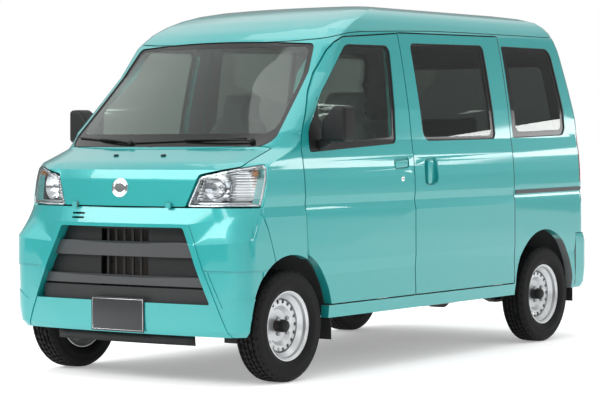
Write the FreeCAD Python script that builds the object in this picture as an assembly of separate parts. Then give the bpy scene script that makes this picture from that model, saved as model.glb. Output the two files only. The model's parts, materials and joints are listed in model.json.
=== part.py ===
# A small one-box cargo van with side doors that slide, a lifting tailgate and a short sloping nose.
# Millimetres. +X is the van's left side, -Y is its front, +Z is up, and the ground is at Z 0.
import FreeCAD, Part
import functools
import math
import os

V = FreeCAD.Vector

# Driving dimensions: the vehicle as a whole
LENGTH = 3395.0
WHEELBASE = 2450.0
FRONT_AXLE_Y = -1272.0
REAR_AXLE_Y = FRONT_AXLE_Y + WHEELBASE
FRONT_Y = -LENGTH / 2
REAR_Y = LENGTH / 2

# Wheels and tyres
TYRE_R = 270.0
TYRE_W = 145.0
RIM_R = 168.0
RIM_WELL_R = 136.0
RIM_W = 112.0
TRACK_HALF = 652.0
WHEEL_Z = TYRE_R
HUB_BORE_R = 30.0
HAND_HOLES = 18
HAND_HOLE_R = 9.5
HAND_HOLE_PITCH_R = 116.0

# Panels and gaps
WALL = 46.0
ROOF_WALL = 34.0
BUMPER_WALL = 28.0
SHUT_GAP = 7.0
GLASS_IN = 7.0
GLASS_T = 5.0
SEAT_GAP = 0.3
PANEL_GAP = 4.0
GUTTER_GAP = 4.0
SHEET = 12.0

# Heights that panels share
SILL_Z = 288.0
SILL_TOP_Z = 353.0
BUMPER_Z = 238.0
HOOD_Z = 844.0
GATE_Z = 612.0
GATE_TOP_Z = 1742.0
ROOF_TURN_Z = 1700.0
ROOF_TURN_H = 60.0
REAR_BUMPER_Z = 604.0
LOAD_FLOOR_Z = 665.0
FOOT_FLOOR_Z = 470.0
RISER_Z = 760.0
FIREWALL_Z = 1060.0

# Arches: centre y, centre z, radius
FRONT_ARCH = (-1276.0, 302.0, 310.0)
REAR_ARCH = (1150.0, 315.0, 325.0)
ARCH_LIP = 15.0

# Doors
A_SEAM_Y = -1185.0
B_SEAM_Y = -193.0
C_SEAM_Y = 815.0
GATE_TOP_Y = 1505.0

# Floor, frame and running gear
FLOOR_HALF = 720.0
HOUSE_IN = 405.0
FIREWALL_Y = -1430.0
RISER_Y = -820.0
RISER_END_Y = -150.0
LOAD_END_Y = 1575.0
RAIL_IN = 330.0
RAIL_OUT = 385.0
RAIL_Y0 = -1600.0
RAIL_Y1 = 1600.0
RAIL_Z0 = 350.0
RAIL_Z1 = FOOT_FLOOR_Z - SHEET
CROSS_W = 60.0
CROSS_Y = (-1560.0, -880.0, -160.0, 560.0, 1540.0)
OUTRIGGER_Y = (-900.0, -180.0, 560.0)
KING_X = 545.0
DISC_X = 640.0
STRUT_Z = WHEEL_Z + 90.3
BEAM_R = 38.0
REAR_DRUM_R = 112.0
SPRING_TOP_Z = RAIL_Z0
JACK_Y = (-620.0, 420.0)
JACK_X = (RAIL_IN + RAIL_OUT) / 2
JACK_PAD = (45.0, 80.0, 8.0)

# Engine block, seats, mirrors and grille
ENGINE_HALF = 230.0
ENGINE_Y0 = -760.0
ENGINE_Y1 = -250.0
SEAT_X = 345.0
SEAT_W = 470.0
SEAT_Y0 = -790.0
SEAT_Y1 = -300.0
SEAT_TOP_Z = 1440.0
BENCH_HALF = 600.0
BENCH_Y0 = 240.0
BENCH_Y1 = 740.0
MIRROR_X = 745.0
HINGES = ((-1151.0, 700.0), (-1164.0, 980.0))
FLAP_FRONT_Y = -940.0
FLAP_REAR_Y = 1492.0
TOW_X = -357.0
TOW_T = 12.0
TOW_FRONT_Y = -1618.0
TOW_REAR_Y = 1606.0
TOW_Z = 214.0
TOW_BORE_R = 12.0
GRILLE_SLOTS = 21
GRILLE_SLOT_W = 16.0
GRILLE_PITCH = 30.0

# Steering wheel: centre, rim and the column's rise from the horizontal
STEER_X = -330.0
STEER_Y = -985.0
STEER_Z = 1000.0
STEER_R = 180.0
STEER_TUBE = 14.0
STEER_RISE = 50.0

# Body sections by height. SIDE: z, half width. REAR: z, rear y at the corner.
SIDE = [
    (238, 706), (288, 726), (353, 735), (500, 732), (565, 737), (796, 737.5), (845, 729), (885, 734),
    (965, 733), (1020, 729), (1079, 723.5), (1157, 712), (1312, 696), (1490, 668), (1619, 645),
    (1716, 624), (1760, 607), (1795, 588), (1822, 555), (1843, 485), (1858, 385), (1868, 260), (1875, 90),
]
REAR = [
    (238, 1640), (288, 1650), (900, 1644), (1260, 1636), (1428, 1601), (1663, 1545), (1716, 1520),
    (1769, 1485), (1822, 1415), (1843, 1350), (1858, 1240), (1868, 1080), (1875, 820),
]
# FRONT: z, centre y, arc end x, arc end y, corner x, corner y, y where the side starts
FRONT = [
    (238, -1560, 420, -1540, 600, -1520, -1470),
    (844, -1676, 379, -1642, 610, -1582, -1490),
    (980, -1662, 425, -1618, 622, -1560, -1466),
    (1022, -1648, 436, -1602, 628, -1543, -1450),
    (1050, -1612, 450, -1566, 633, -1500, -1420),
    (1118, -1446, 520, -1372, 640, -1318, -1225),
    (1200, -1362, 655, -1232, 697, -1188, -1118),
    (1345, -1215, 623, -1086, 672, -1044, -975),
    (1490, -1068, 592, -944, 648, -902, -838),
    (1640, -914, 572, -830, 627, -790, -728),
    (1668, -884, 560, -806, 614, -764, -700),
    (1716, -820, 540, -744, 596, -700, -636),
    (1760, -720, 520, -650, 580, -604, -540),
    (1795, -612, 495, -552, 558, -500, -436),
    (1822, -500, 460, -446, 524, -396, -330),
    (1843, -370, 400, -325, 452, -280, -220),
    (1858, -230, 310, -195, 356, -160, -110),
    (1868, -60, 205, -35, 238, -5, 40),
    (1875, 220, 70, 235, 82, 250, 280),
]
# BUMPER: z, half width, centre y, arc end x, arc end y, corner x, corner y, y where the side starts
BUMPER = [
    (238, 706, -1684, 560, -1652, 664, -1620, -1540),
    (264, 722, FRONT_Y + 2, 600, -1662, 688, -1632, -1556),
    (330, 734, FRONT_Y, 612, -1664, 702, -1632, -1560),
    (560, 736, FRONT_Y, 620, -1662, 708, -1631, -1560),
    (688, 737.5, FRONT_Y + 1, 620, -1660, 707, -1629, -1560),
    (748, 737, FRONT_Y + 5, 520, -1650, 676, -1598, -1512),
    (800, 736.5, FRONT_Y + 10, 410, -1648, 636, -1578, -1488),
    (840, 736.5, FRONT_Y + 16, 379, -1643, 612, -1582, -1488),
]
# REAR_BUMPER: z, half width, rear y at the corner
REAR_BUMPER = [(288, 722, 1655), (318, 733, 1676), (400, 737.5, 1683.5), (560, 737.5, 1683.5), (604, 735, 1664)]
REAR_BUMPER_Y = 1505.0
REAR_CORNER_R = 90.0
REAR_CROWN = 14.0
GUTTER = [(-1400, 1640), (-930, 1640), (-848, 1651), (-744, 1673), (-657, 1690), (-524, 1702),
          (-200, 1716), (133, 1727), (540, 1731), (1800, 1737)]

parts = {}


def add(name, *shapes):
    """Keeps the solids of a piece for its file."""
    solids = [s for shape in shapes for s in shape.Solids]
    parts[name] = solids[0] if len(solids) == 1 else Part.makeCompound(solids)


def box(x0, x1, y0, y1, z0, z1):
    return Part.makeBox(x1 - x0, y1 - y0, z1 - z0, V(x0, y0, z0))


def rod(p, q, r):
    p, q = V(*p), V(*q)
    return Part.makeCylinder(r, (q - p).Length, p, q - p)


def mirrored(shape):
    """The same piece on the van's other side."""
    return shape.mirror(V(0, 0, 0), V(1, 0, 0))


def pair(shape):
    return Part.makeCompound([shape, mirrored(shape)])


def between(table, z):
    """The row of a table at height z, by straight interpolation."""
    rows = [r for r in table]
    if z <= rows[0][0]:
        return rows[0][1:]
    for low, high in zip(rows, rows[1:]):
        if z <= high[0]:
            t = (z - low[0]) / (high[0] - low[0])
            return tuple(a + (b - a) * t for a, b in zip(low[1:], high[1:]))
    return rows[-1][1:]


def arc(p, q, r):
    return Part.Arc(V(*p), V(*q), V(*r)).toShape()


def line(p, q):
    return Part.LineSegment(V(*p), V(*q)).toShape()


def outline(z, half, front, rear_y, inset, at=None):
    """The body's plan outline at one height, moved inwards by inset."""
    yc, xa, ya, xm, ym, yb = front
    z = z if at is None else at
    t = inset
    half, yc, ya, yb = half - t, yc + t, ya + t, yb + 0.35 * t
    xa, xm, ym = xa - 0.3 * t, xm - 0.72 * t, ym + 0.62 * t
    rear_y -= t
    r = min(REAR_CORNER_R, 0.8 * half)
    k = r * (1 - math.sqrt(0.5))
    edges = [
        arc((-xa, ya, z), (0, yc, z), (xa, ya, z)),
        arc((xa, ya, z), (xm, ym, z), (half, yb, z)),
        line((half, yb, z), (half, rear_y - r, z)),
        arc((half, rear_y - r, z), (half - k, rear_y - k, z), (half - r, rear_y, z)),
        arc((half - r, rear_y, z), (0, rear_y + REAR_CROWN, z), (r - half, rear_y, z)),
        arc((r - half, rear_y, z), (k - half, rear_y - k, z), (-half, rear_y - r, z)),
        line((-half, rear_y - r, z), (-half, yb, z)),
        arc((-half, yb, z), (-xm, ym, z), (-xa, ya, z)),
    ]
    return Part.Wire(edges)


@functools.lru_cache(maxsize=None)
def body_block(inset, top_inset=0.0, low=BUMPER_Z):
    """The whole body's outer form as a solid, drawn in by inset, and by top_inset below the roof."""
    heights = sorted({r[0] for r in SIDE} | {r[0] for r in FRONT} | {r[0] for r in REAR})
    heights = [low] + [z for z in heights if z > low + 1]
    if top_inset:
        # inside the roof the topmost ring would fold over itself
        heights.pop()
    wires = []
    for z in heights:
        at = z
        if z > ROOF_TURN_Z:
            at = z - top_inset * min(1.0, (z - ROOF_TURN_Z) / ROOF_TURN_H)
        (half,) = between(SIDE, z)
        (rear,) = between(REAR, z)
        wires.append(outline(z, half, between(FRONT, z), rear, inset, at))
    return Part.makeLoft(wires, True, True)


@functools.lru_cache(maxsize=None)
def bumper_block(inset):
    """The front bumper's outer form, drawn in by inset, running back past the front wheels."""
    wires = []
    for row in BUMPER:
        z, half, *front = row
        wires.append(outline(z, half, front, -600.0, inset))
    return Part.makeLoft(wires, True, True)


@functools.lru_cache(maxsize=None)
def rear_bumper_block(inset):
    """The rear bumper's outer form, drawn in by inset, running forward past the rear wheels."""
    ahead = (600, 400, 620, 600, 680, 760)
    return Part.makeLoft([outline(z, half, ahead, y, inset) for z, half, y in REAR_BUMPER], True, True)


def rounded(corners, place):
    """A closed wire through corners of (u, v, radius), with round corners, put in space by place(u, v)."""
    n = len(corners)
    legs = []
    for i in range(n):
        a, b, c = corners[i - 1], corners[i], corners[(i + 1) % n]
        p, o, q = V(a[0], a[1], 0), V(b[0], b[1], 0), V(c[0], c[1], 0)
        u, w = (p - o).normalize(), (q - o).normalize()
        half = math.acos(max(-1.0, min(1.0, u.dot(w)))) / 2
        cut = b[2] / math.tan(half) if b[2] > 0 else 0.0
        start, end = o + u * cut, o + w * cut
        middle = o + (u + w).normalize() * (b[2] / math.sin(half) - b[2]) if b[2] > 0 else o
        legs.append((start, middle, end, b[2] > 0))
    edges = []
    for i in range(n):
        start, middle, end, is_round = legs[i]
        following = legs[(i + 1) % n][0]
        if is_round:
            edges.append(arc(place(start.x, start.y), place(middle.x, middle.y), place(end.x, end.y)))
        if (following - end).Length > 0.01:
            edges.append(line(place(end.x, end.y), place(following.x, following.y)))
    return Part.Wire(edges)


def side_prism(corners, x0, x1, grow=0.0):
    """A block through the van's side, from an outline of (y, z, radius)."""
    wire = rounded(corners, lambda u, v: (x0, u, v))
    if grow:
        wire = wire.makeOffset2D(grow)
    return Part.Face(wire).extrude(V(x1 - x0, 0, 0))


def front_prism(corners, y0, y1, grow=0.0):
    """A block along the van, from an outline of (x, z, radius)."""
    wire = rounded(corners, lambda u, v: (u, y0, v))
    if grow:
        wire = wire.makeOffset2D(grow)
    return Part.Face(wire).extrude(V(0, y1 - y0, 0))


def arch(spec, grow, x0, x1):
    y, z, r = spec
    return Part.makeCylinder(r + grow, x1 - x0, V(x0, y, z), V(1, 0, 0))


def gutter_block(lift, z_far, y0=-2000.0, y1=2000.0):
    """The space above (z_far high) or below (z_far low) the roof's gutter line, moved by lift."""
    pts = [(max(y, y0) if i == 0 else y, z + lift) for i, (y, z) in enumerate(GUTTER)]
    pts = [(y0, pts[0][1])] + pts[1:-1] + [(y1, pts[-1][1])]
    pts += [(y1, z_far), (y0, z_far)]
    wire = Part.makePolygon([V(-1000, y, z) for y, z in pts + pts[:1]])
    return Part.Face(wire).extrude(V(2000, 0, 0))


# Outlines of the openings in the side: y, z, corner radius
FRONT_DOOR = [
    (B_SEAM_Y, SILL_TOP_Z, 12), (B_SEAM_Y, 1706, 10), (-700, 1672, 60), (-775, 1642, 30), (-828, 1601, 60),
    (-1018, 1391, 400), (-1150, 1206, 160), (-1172, 1120, 60), (-1165, 1000, 200), (-1147, 600, 20),
    (-1147, SILL_TOP_Z, 0),
]
FRONT_WINDOW = [
    (-340, 1136, 34), (-290, 1640, 42), (-690, 1636, 90), (-970, 1377, 500), (-1098, 1200, 60),
    (-1104, 1098, 20),
]
SLIDE_DOOR = [
    (C_SEAM_Y, SILL_TOP_Z, 12), (C_SEAM_Y, 1722, 10), (B_SEAM_Y, 1709, 10), (B_SEAM_Y, SILL_TOP_Z, 12),
]
SLIDE_WINDOW = [(655, 1154, 38), (642, 1668, 34), (-95, 1658, 34), (-80, 1147, 60)]
QUARTER_WINDOW = [(1436, 1172, 60), (1440, 1320, 300), (1378, 1669, 70), (838, 1669, 14), (838, 1158, 14)]
# The nose beside the bumper, and the headlamp's rear edge on the side
BUMPER_SIDE = [
    (-1900, 150, 0), (-1900, HOOD_Z, 0), (-1497, HOOD_Z, 0), (-1510, 810, 12), (-1467, 743, 30),
    (-1436, 666, 60), (-1405, 582, 20), (-1300, 500, 0), (-1300, 150, 0),
]
LAMP_SIDE = [(-1900, HOOD_Z + 2, 0), (-1900, 1100, 0), (-1446, 1100, 0), (-1448, 1042, 20), (-1497, HOOD_Z + 2, 8)]
# Outlines seen from the front or rear: x, z, corner radius
GATE = [(-650, GATE_Z, 40), (650, GATE_Z, 40), (662, 960, 60), (640, 1300, 300), (545, GATE_TOP_Z, 60),
        (-545, GATE_TOP_Z, 60), (-640, 1300, 300), (-662, 960, 60)]
GATE_WINDOW = [(-545, 1110, 60), (545, 1110, 60), (500, 1600, 70), (-500, 1600, 70)]
WINDSCREEN = [(-648, 1128, 60), (648, 1128, 60), (596, 1500, 300), (560, 1638, 34), (0, 1666, 8000),
              (-560, 1638, 34), (-596, 1500, 300)]
HOOD = [(-381, HOOD_Z, 14), (381, HOOD_Z, 14), (442, 996, 16), (632, 1034, 20), (648, 1150, 10),
        (-648, 1150, 10), (-632, 1034, 20), (-442, 996, 16)]
HOOD_REAR = ((-690, -1290), (0, -1450), (690, -1290))
LAMP = [(389, HOOD_Z + 2, 8), (449, 991, 30), (760, 1059, 0), (760, HOOD_Z + 2, 0)]
GRILLE = [(-510, 383, 20), (510, 383, 20), (350, 745, 24), (-350, 745, 24)]
TAIL_LAMP = [(664, 905, 20), (760, 905, 0), (760, 1190, 0), (652, 1190, 20)]

FAR = 1000.0
OUTER = body_block(0)
INNER = body_block(WALL, ROOF_WALL, low=250.0)
CABIN = body_block(WALL + SEAT_GAP, ROOF_WALL + SEAT_GAP, low=240.0)
SHELL = OUTER.cut(INNER)
GLASS_BLOCK = body_block(GLASS_IN).cut(body_block(GLASS_IN + GLASS_T, GLASS_IN + GLASS_T, low=260.0))
UNDER_GUTTER = gutter_block(0, -100.0)
ABOVE_GUTTER = gutter_block(GUTTER_GAP, 2100.0)


def plan_prism(arc_points, y_far, z0, z1, shift=0.0):
    """A block with upright walls whose rear edge is an arc in plan."""
    a, b, c = [(x, y + shift, z0) for x, y in arc_points]
    p, q = (a[0], y_far, z0), (c[0], y_far, z0)
    return Part.Face(Part.Wire([arc(a, b, c), line(c, q), line(q, p), line(p, a)])).extrude(V(0, 0, z1 - z0))


def glass(prism):
    """A sheet of curved glass, flush in the opening that the prism cuts."""
    return GLASS_BLOCK.common(prism)


def door_front():
    """The left front door: a panel as thick as the door, with its window cut."""
    panel = SHELL.common(side_prism(FRONT_DOOR, 350, FAR, -SHUT_GAP / 2)).common(gutter_block(-SHUT_GAP, -100.0))
    panel = panel.cut(arch(FRONT_ARCH, ARCH_LIP + SHUT_GAP, 300, FAR))
    return panel.cut(side_prism(FRONT_WINDOW, 350, FAR))


def door_slide():
    panel = SHELL.common(side_prism(SLIDE_DOOR, 350, FAR, -SHUT_GAP / 2)).common(gutter_block(-SHUT_GAP, -100.0))
    panel = panel.cut(arch(REAR_ARCH, ARCH_LIP + SHUT_GAP, 300, FAR))
    return panel.cut(side_prism(SLIDE_WINDOW, 350, FAR))


def lamp_zone(grow):
    """The corner of the nose that the headlamp fills, its outlines moved outwards by grow."""
    front = front_prism(LAMP, -1900, -1300, grow)
    return front.common(side_prism(LAMP_SIDE, 300, FAR, grow))


def hood_zone(grow):
    return front_prism(HOOD, -1900, -1200, grow).common(plan_prism(HOOD_REAR, -1900, 800, 1200, grow))


def body_side():
    """The left side of the body: fender, pillars, sill, rear quarter and half of the cowl and rear frame."""
    side = SHELL.common(UNDER_GUTTER).common(box(0, FAR, -2000, 2000, SILL_Z, 1800))
    side = side.cut(side_prism(FRONT_DOOR, 350, FAR, SHUT_GAP / 2))
    side = side.cut(side_prism(SLIDE_DOOR, 350, FAR, SHUT_GAP / 2))
    side = side.cut(side_prism(QUARTER_WINDOW, 350, FAR))
    side = side.cut(arch(FRONT_ARCH, 0, 300, FAR)).cut(arch(REAR_ARCH, 0, 300, FAR))
    side = side.cut(side_prism(BUMPER_SIDE, -10, FAR, PANEL_GAP))
    side = side.cut(hood_zone(SHUT_GAP / 2)).cut(lamp_zone(0))
    side = side.cut(front_prism(WINDSCREEN, -1900, -500))
    side = side.cut(front_prism(GATE, 1200, 1900, SHUT_GAP / 2))
    side = side.cut(front_prism(TAIL_LAMP, 1560, 1900))
    side = side.cut(box(-10, FAR, REAR_BUMPER_Y, 1900, 0, REAR_BUMPER_Z + PANEL_GAP))
    return biggest(side)


def biggest(shape):
    return max(shape.Solids, key=lambda s: s.Volume)


def ring(y, z, r_out, r_in, x0, x1):
    a = Part.makeCylinder(r_out, x1 - x0, V(x0, y, z), V(1, 0, 0))
    return a.cut(Part.makeCylinder(r_in, x1 - x0 + 2, V(x0 - 1, y, z), V(1, 0, 0)))


def floor_pan():
    """Footwell, seat riser, load floor, firewall and the four wheel housings, as one pressed assembly."""
    t = SHEET
    inner = FLOOR_HALF
    front_house = ring(FRONT_ARCH[0], FRONT_ARCH[1], FRONT_ARCH[2] + ARCH_LIP + t, FRONT_ARCH[2] + ARCH_LIP,
                       HOUSE_IN, inner)
    front_house = front_house.fuse(Part.makeCylinder(FRONT_ARCH[2] + ARCH_LIP + t, t,
                                                     V(HOUSE_IN - t, FRONT_ARCH[0], FRONT_ARCH[1]), V(1, 0, 0)))
    front_house = front_house.cut(box(0, FAR, -1700, 0, 0, SILL_Z + 40))
    rear_house = ring(REAR_ARCH[0], REAR_ARCH[1], REAR_ARCH[2] + ARCH_LIP + t, REAR_ARCH[2] + ARCH_LIP,
                      HOUSE_IN, inner)
    rear_house = rear_house.fuse(Part.makeCylinder(REAR_ARCH[2] + ARCH_LIP + t, t,
                                                   V(HOUSE_IN - t, REAR_ARCH[0], REAR_ARCH[1]), V(1, 0, 0)))
    rear_house = rear_house.cut(box(0, FAR, 0, 2000, 0, SPRING_TOP_Z))
    foot = box(0, HOUSE_IN, FIREWALL_Y, RISER_Y, FOOT_FLOOR_Z - t, FOOT_FLOOR_Z)
    foot_side = box(HOUSE_IN - t, inner, FRONT_ARCH[0] + 200, RISER_Y, FOOT_FLOOR_Z - t, FOOT_FLOOR_Z)
    foot_side = foot_side.cut(arch(FRONT_ARCH, ARCH_LIP, 0, FAR))
    wall = box(0, inner, RISER_Y, RISER_Y + t, FOOT_FLOOR_Z - t, RISER_Z)
    deck = box(0, inner, RISER_Y, RISER_END_Y, RISER_Z - t, RISER_Z)
    back = box(0, inner, RISER_END_Y - t, RISER_END_Y, LOAD_FLOOR_Z - t, RISER_Z)
    load = box(0, inner, RISER_END_Y - t, LOAD_END_Y, LOAD_FLOOR_Z - t, LOAD_FLOOR_Z)
    load = load.cut(arch(REAR_ARCH, ARCH_LIP, 0, FAR))
    fire = box(0, inner - 60, FIREWALL_Y, FIREWALL_Y + t, FOOT_FLOOR_Z - t, FIREWALL_Z)
    fire = fire.cut(arch(FRONT_ARCH, ARCH_LIP, HOUSE_IN, FAR))
    half = foot.multiFuse([front_house, rear_house, foot_side, wall, deck, back, load, fire])
    half = half.common(CABIN)
    return half.fuse(mirrored(half)).removeSplitter()


def chassis_frame():
    """Two box rails with crossmembers, outriggers and the two bumper beams."""
    rail = box(RAIL_IN, RAIL_OUT, RAIL_Y0, RAIL_Y1, RAIL_Z0, RAIL_Z1)
    w, l, t = JACK_PAD
    for y in JACK_Y:
        rail = rail.fuse(box(JACK_X - w / 2, JACK_X + w / 2, y - l / 2, y + l / 2, RAIL_Z0 - t, RAIL_Z0))
    pieces = [rail, mirrored(rail)]
    for y in CROSS_Y:
        pieces.append(box(-RAIL_IN, RAIL_IN, y - CROSS_W / 2, y + CROSS_W / 2, RAIL_Z0 + 10, RAIL_Z1 - 5))
    for y in OUTRIGGER_Y:
        arm = box(RAIL_OUT, FLOOR_HALF, y - 20, y + 20, RAIL_Z0 + 20, RAIL_Z1).common(CABIN)
        pieces += [arm, mirrored(arm)]
    front_beam = box(-520, 520, -1800, RAIL_Y0, RAIL_Z0, RAIL_Z1).common(bumper_block(BUMPER_WALL + SEAT_GAP))
    front_beam = front_beam.cut(bumper_block(BUMPER_WALL + SEAT_GAP + 60))
    rear_beam = box(-560, 560, RAIL_Y1, 1800, RAIL_Z0, RAIL_Z1)
    rear_beam = rear_beam.common(rear_bumper_block(BUMPER_WALL + SEAT_GAP))
    return pieces[0].multiFuse(pieces[1:] + [front_beam, rear_beam]).removeSplitter()


def turned(points):
    """A piece turned about the wheel's axis from its section of (x, radius)."""
    wire = Part.makePolygon([V(x, 0, r) for x, r in points + points[:1]])
    return Part.Face(wire).revolve(V(0, 0, 0), V(1, 0, 0), 360)


def placed(shape, side, y):
    shape.translate(V(0, y, WHEEL_Z))
    return shape if side > 0 else mirrored(shape)


def tyre(side, y):
    """A tyre turned from its section: beads, sidewalls, shoulders and tread."""
    half = [(RIM_W / 2, RIM_R + 0.3), (TYRE_W / 2 - 2, RIM_R + 26), (TYRE_W / 2, RIM_R + 58),
            (TYRE_W / 2 - 9, TYRE_R - 15), (TYRE_W / 2 - 25, TYRE_R)]
    points = [(TRACK_HALF + x, r) for x, r in half]
    points += [(TRACK_HALF - x, r) for x, r in reversed(half)]
    return placed(turned(points), side, y)


def rim(side, y):
    """A pressed steel wheel: hoop with its well, dished disc with a ring of round holes, centre bore."""
    t = 5.0
    w = RIM_W / 2
    # outside of the hoop from the inner flange to the outer one: x from the middle, radius
    hoop = [(-w, RIM_R), (-w + 8, RIM_R - 9), (-w + 22, RIM_R - 12), (-w + 30, RIM_WELL_R),
            (w - 44, RIM_WELL_R), (w - 24, RIM_R - 12), (w - 8, RIM_R - 9), (w, RIM_R)]
    hoop = [(TRACK_HALF + x, r) for x, r in hoop]
    inside = [(x, r - t) for x, r in reversed(hoop)]
    # front of the disc from the bore to the hoop
    disc = [(DISC_X, HUB_BORE_R), (DISC_X, 78), (DISC_X + 20, 96), (DISC_X + 22, 122),
            (DISC_X + 6, RIM_WELL_R - t + 1)]
    back = [(x - t, r) for x, r in reversed(disc)]
    plate = turned(disc + back)
    for i in range(HAND_HOLES):
        a = 2 * math.pi * i / HAND_HOLES
        at = V(DISC_X - 30, HAND_HOLE_PITCH_R * math.cos(a), HAND_HOLE_PITCH_R * math.sin(a))
        plate = plate.cut(Part.makeCylinder(HAND_HOLE_R, 80, at, V(1, 0, 0)))
    return placed(turned(hoop + inside).fuse(plate), side, y)


def knuckle():
    """Left knuckle: upright, hub, brake disc and steering arm, turning about the strut."""
    y, z = FRONT_AXLE_Y, WHEEL_Z
    hub = rod((KING_X, y, z), (DISC_X - 5.3, y, z), 55)
    nose = rod((DISC_X - 6, y, z), (DISC_X + 26, y, z), HUB_BORE_R - 0.5)
    brake = rod((KING_X + 28, y, z), (KING_X + 40, y, z), 110)
    upright = box(KING_X - 22, KING_X + 22, y - 32, y + 32, z - 76, z + 90)
    arm = box(KING_X - 22, KING_X, y, y + 110, z - 40, z - 20)
    return hub.multiFuse([nose, brake, upright, arm]).removeSplitter()


def suspension():
    """Left strut and lower arm in front, leaf spring and damper behind."""
    y = FRONT_AXLE_Y
    strut = rod((KING_X, y, STRUT_Z), (KING_X, y, FRONT_ARCH[1] + FRONT_ARCH[2] + ARCH_LIP - 1), 20)
    arm = box(RAIL_OUT - 30, KING_X, y - 20, y + 20, WHEEL_Z - 98, WHEEL_Z - 76 - SEAT_GAP)
    arm = arm.fuse(box(RAIL_OUT - 50, RAIL_OUT - 10, y - 20, y + 20, WHEEL_Z - 98, RAIL_Z0))
    # leaf spring as one bow of three chords, hung from the outside of the rail
    z0 = WHEEL_Z - BEAM_R - 8
    eyes = [(REAR_AXLE_Y - 480, RAIL_Z0 + 10), (REAR_AXLE_Y - 60, z0), (REAR_AXLE_Y + 60, z0),
            (REAR_AXLE_Y + 400, RAIL_Z0 + 10)]
    eyes = [(min(e[0], 1590), e[1]) for e in eyes]
    leaf = Part.makePolygon([V(0, a, b + 8) for a, b in eyes] + [V(0, a, b - 8) for a, b in reversed(eyes)]
                            + [V(0, eyes[0][0], eyes[0][1] + 8)])
    leaf = Part.Face(leaf).extrude(V(50, 0, 0))
    leaf.translate(V(RAIL_OUT, 0, 0))
    return Part.makeCompound([strut, arm, leaf])


def rear_axle():
    """Beam, differential, brake drums with the hubs that carry the wheels, and the propeller shaft."""
    y, z = REAR_AXLE_Y, WHEEL_Z
    beam = rod((-TRACK_HALF + 60, y, z), (TRACK_HALF - 60, y, z), BEAM_R)
    ball = rod((-95, y, z), (95, y, z), 62).fuse(rod((-38, y, z), (38, y, z), 105))
    shaft = rod((0, y - 60, z), (0, ENGINE_Y1 - 10, z + 55), 32)
    shaft = shaft.cut(box(-50, 50, ENGINE_Y1 - 40, ENGINE_Y1 + SEAT_GAP, 0, FAR))
    drum = rod((DISC_X - 66, 0, 0), (DISC_X - 24, 0, 0), REAR_DRUM_R)
    face = Part.makeCone(REAR_DRUM_R, 74, 24 - 5.3, V(DISC_X - 24, 0, 0), V(1, 0, 0))
    nose = rod((DISC_X - 8, 0, 0), (DISC_X + 26, 0, 0), HUB_BORE_R - 0.5)
    drum = drum.multiFuse([face, nose])
    return beam.multiFuse([ball, shaft, placed(drum.copy(), 1, y), placed(drum.copy(), -1, y)]).removeSplitter()


def tow_eyes():
    """Two plates below the ends of the right-hand rail, each with a bore across the van."""
    plates = []
    for y in (TOW_FRONT_Y, TOW_REAR_Y):
        plate = box(TOW_X - TOW_T / 2, TOW_X + TOW_T / 2, y - 24, y + 24, TOW_Z - 24, RAIL_Z0)
        hole = rod((TOW_X - TOW_T, y, TOW_Z), (TOW_X + TOW_T, y, TOW_Z), TOW_BORE_R)
        plates.append(plate.cut(hole))
    return plates


def exhaust():
    """Silencer across the rear with its pipe from the engine and the tail pipe."""
    pipe = rod((190, ENGINE_Y1 + SEAT_GAP, 334), (190, 900, 326), 22)
    box_ = rod((200, 700, 280), (200, 1020, 280), 70)
    return pipe.fuse(box_).removeSplitter()


def mud_flaps():
    """Left flaps behind the front and rear wheels."""
    front = box(600, 722, FLAP_FRONT_Y, FLAP_FRONT_Y + 5, 180, SILL_Z - SEAT_GAP)
    rear = box(600, 722, FLAP_REAR_Y, FLAP_REAR_Y + 5, 210, SILL_Z - SEAT_GAP)
    return Part.makeCompound([front, rear])


def steering_wheel():
    """Rim, three spokes and a hub, in the plane square to the column."""
    rim_ = Part.makeTorus(STEER_R, STEER_TUBE)
    hub = Part.makeCylinder(52, 46, V(0, 0, -36))
    spokes = [box(-14, 14, -STEER_R, 0, -12, 4), box(-STEER_R, STEER_R, -16, 14, -12, 4)]
    wheel = rim_.multiFuse([hub] + spokes).removeSplitter()
    return tilted(wheel)


def tilted(shape):
    """From the steering wheel's own plane to its place in the cab."""
    shape.rotate(V(0, 0, 0), V(1, 0, 0), STEER_RISE - 90)
    shape.translate(V(STEER_X, STEER_Y, STEER_Z))
    return shape


def dashboard():
    """The dashboard across the cab with its cowl over the dials, and the steering column."""
    back = FIREWALL_Y + SHEET + SEAT_GAP
    profile = [(back, 1010), (-1395, 1098), (-1200, 1100), (-1140, 1070), (-1150, 860), (-1190, 770),
               (-1300, 690), (back, 690)]
    wire = Part.makePolygon([V(-FLOOR_HALF, y, z) for y, z in profile + profile[:1]])
    body = Part.Face(wire).extrude(V(2 * FLOOR_HALF, 0, 0)).common(CABIN)
    column = tilted(Part.makeCylinder(34, 330, V(0, 0, -36 - SEAT_GAP - 330)))
    return body.fuse(column).removeSplitter()


def seat_front():
    """The left front seat: cushion on the engine's cover and a high back."""
    x0, x1 = SEAT_X - SEAT_W / 2, SEAT_X + SEAT_W / 2
    cushion = box(x0, x1, SEAT_Y0, SEAT_Y1, RISER_Z + SEAT_GAP, RISER_Z + 130)
    back = [(SEAT_Y1 - 120, RISER_Z + 130), (SEAT_Y1 + 20, RISER_Z + 100), (SEAT_Y1 + 120, SEAT_TOP_Z),
            (SEAT_Y1 + 20, SEAT_TOP_Z)]
    wire = Part.makePolygon([V(x0, y, z) for y, z in back + back[:1]])
    return cushion.fuse(Part.Face(wire).extrude(V(SEAT_W, 0, 0))).removeSplitter()


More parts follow.
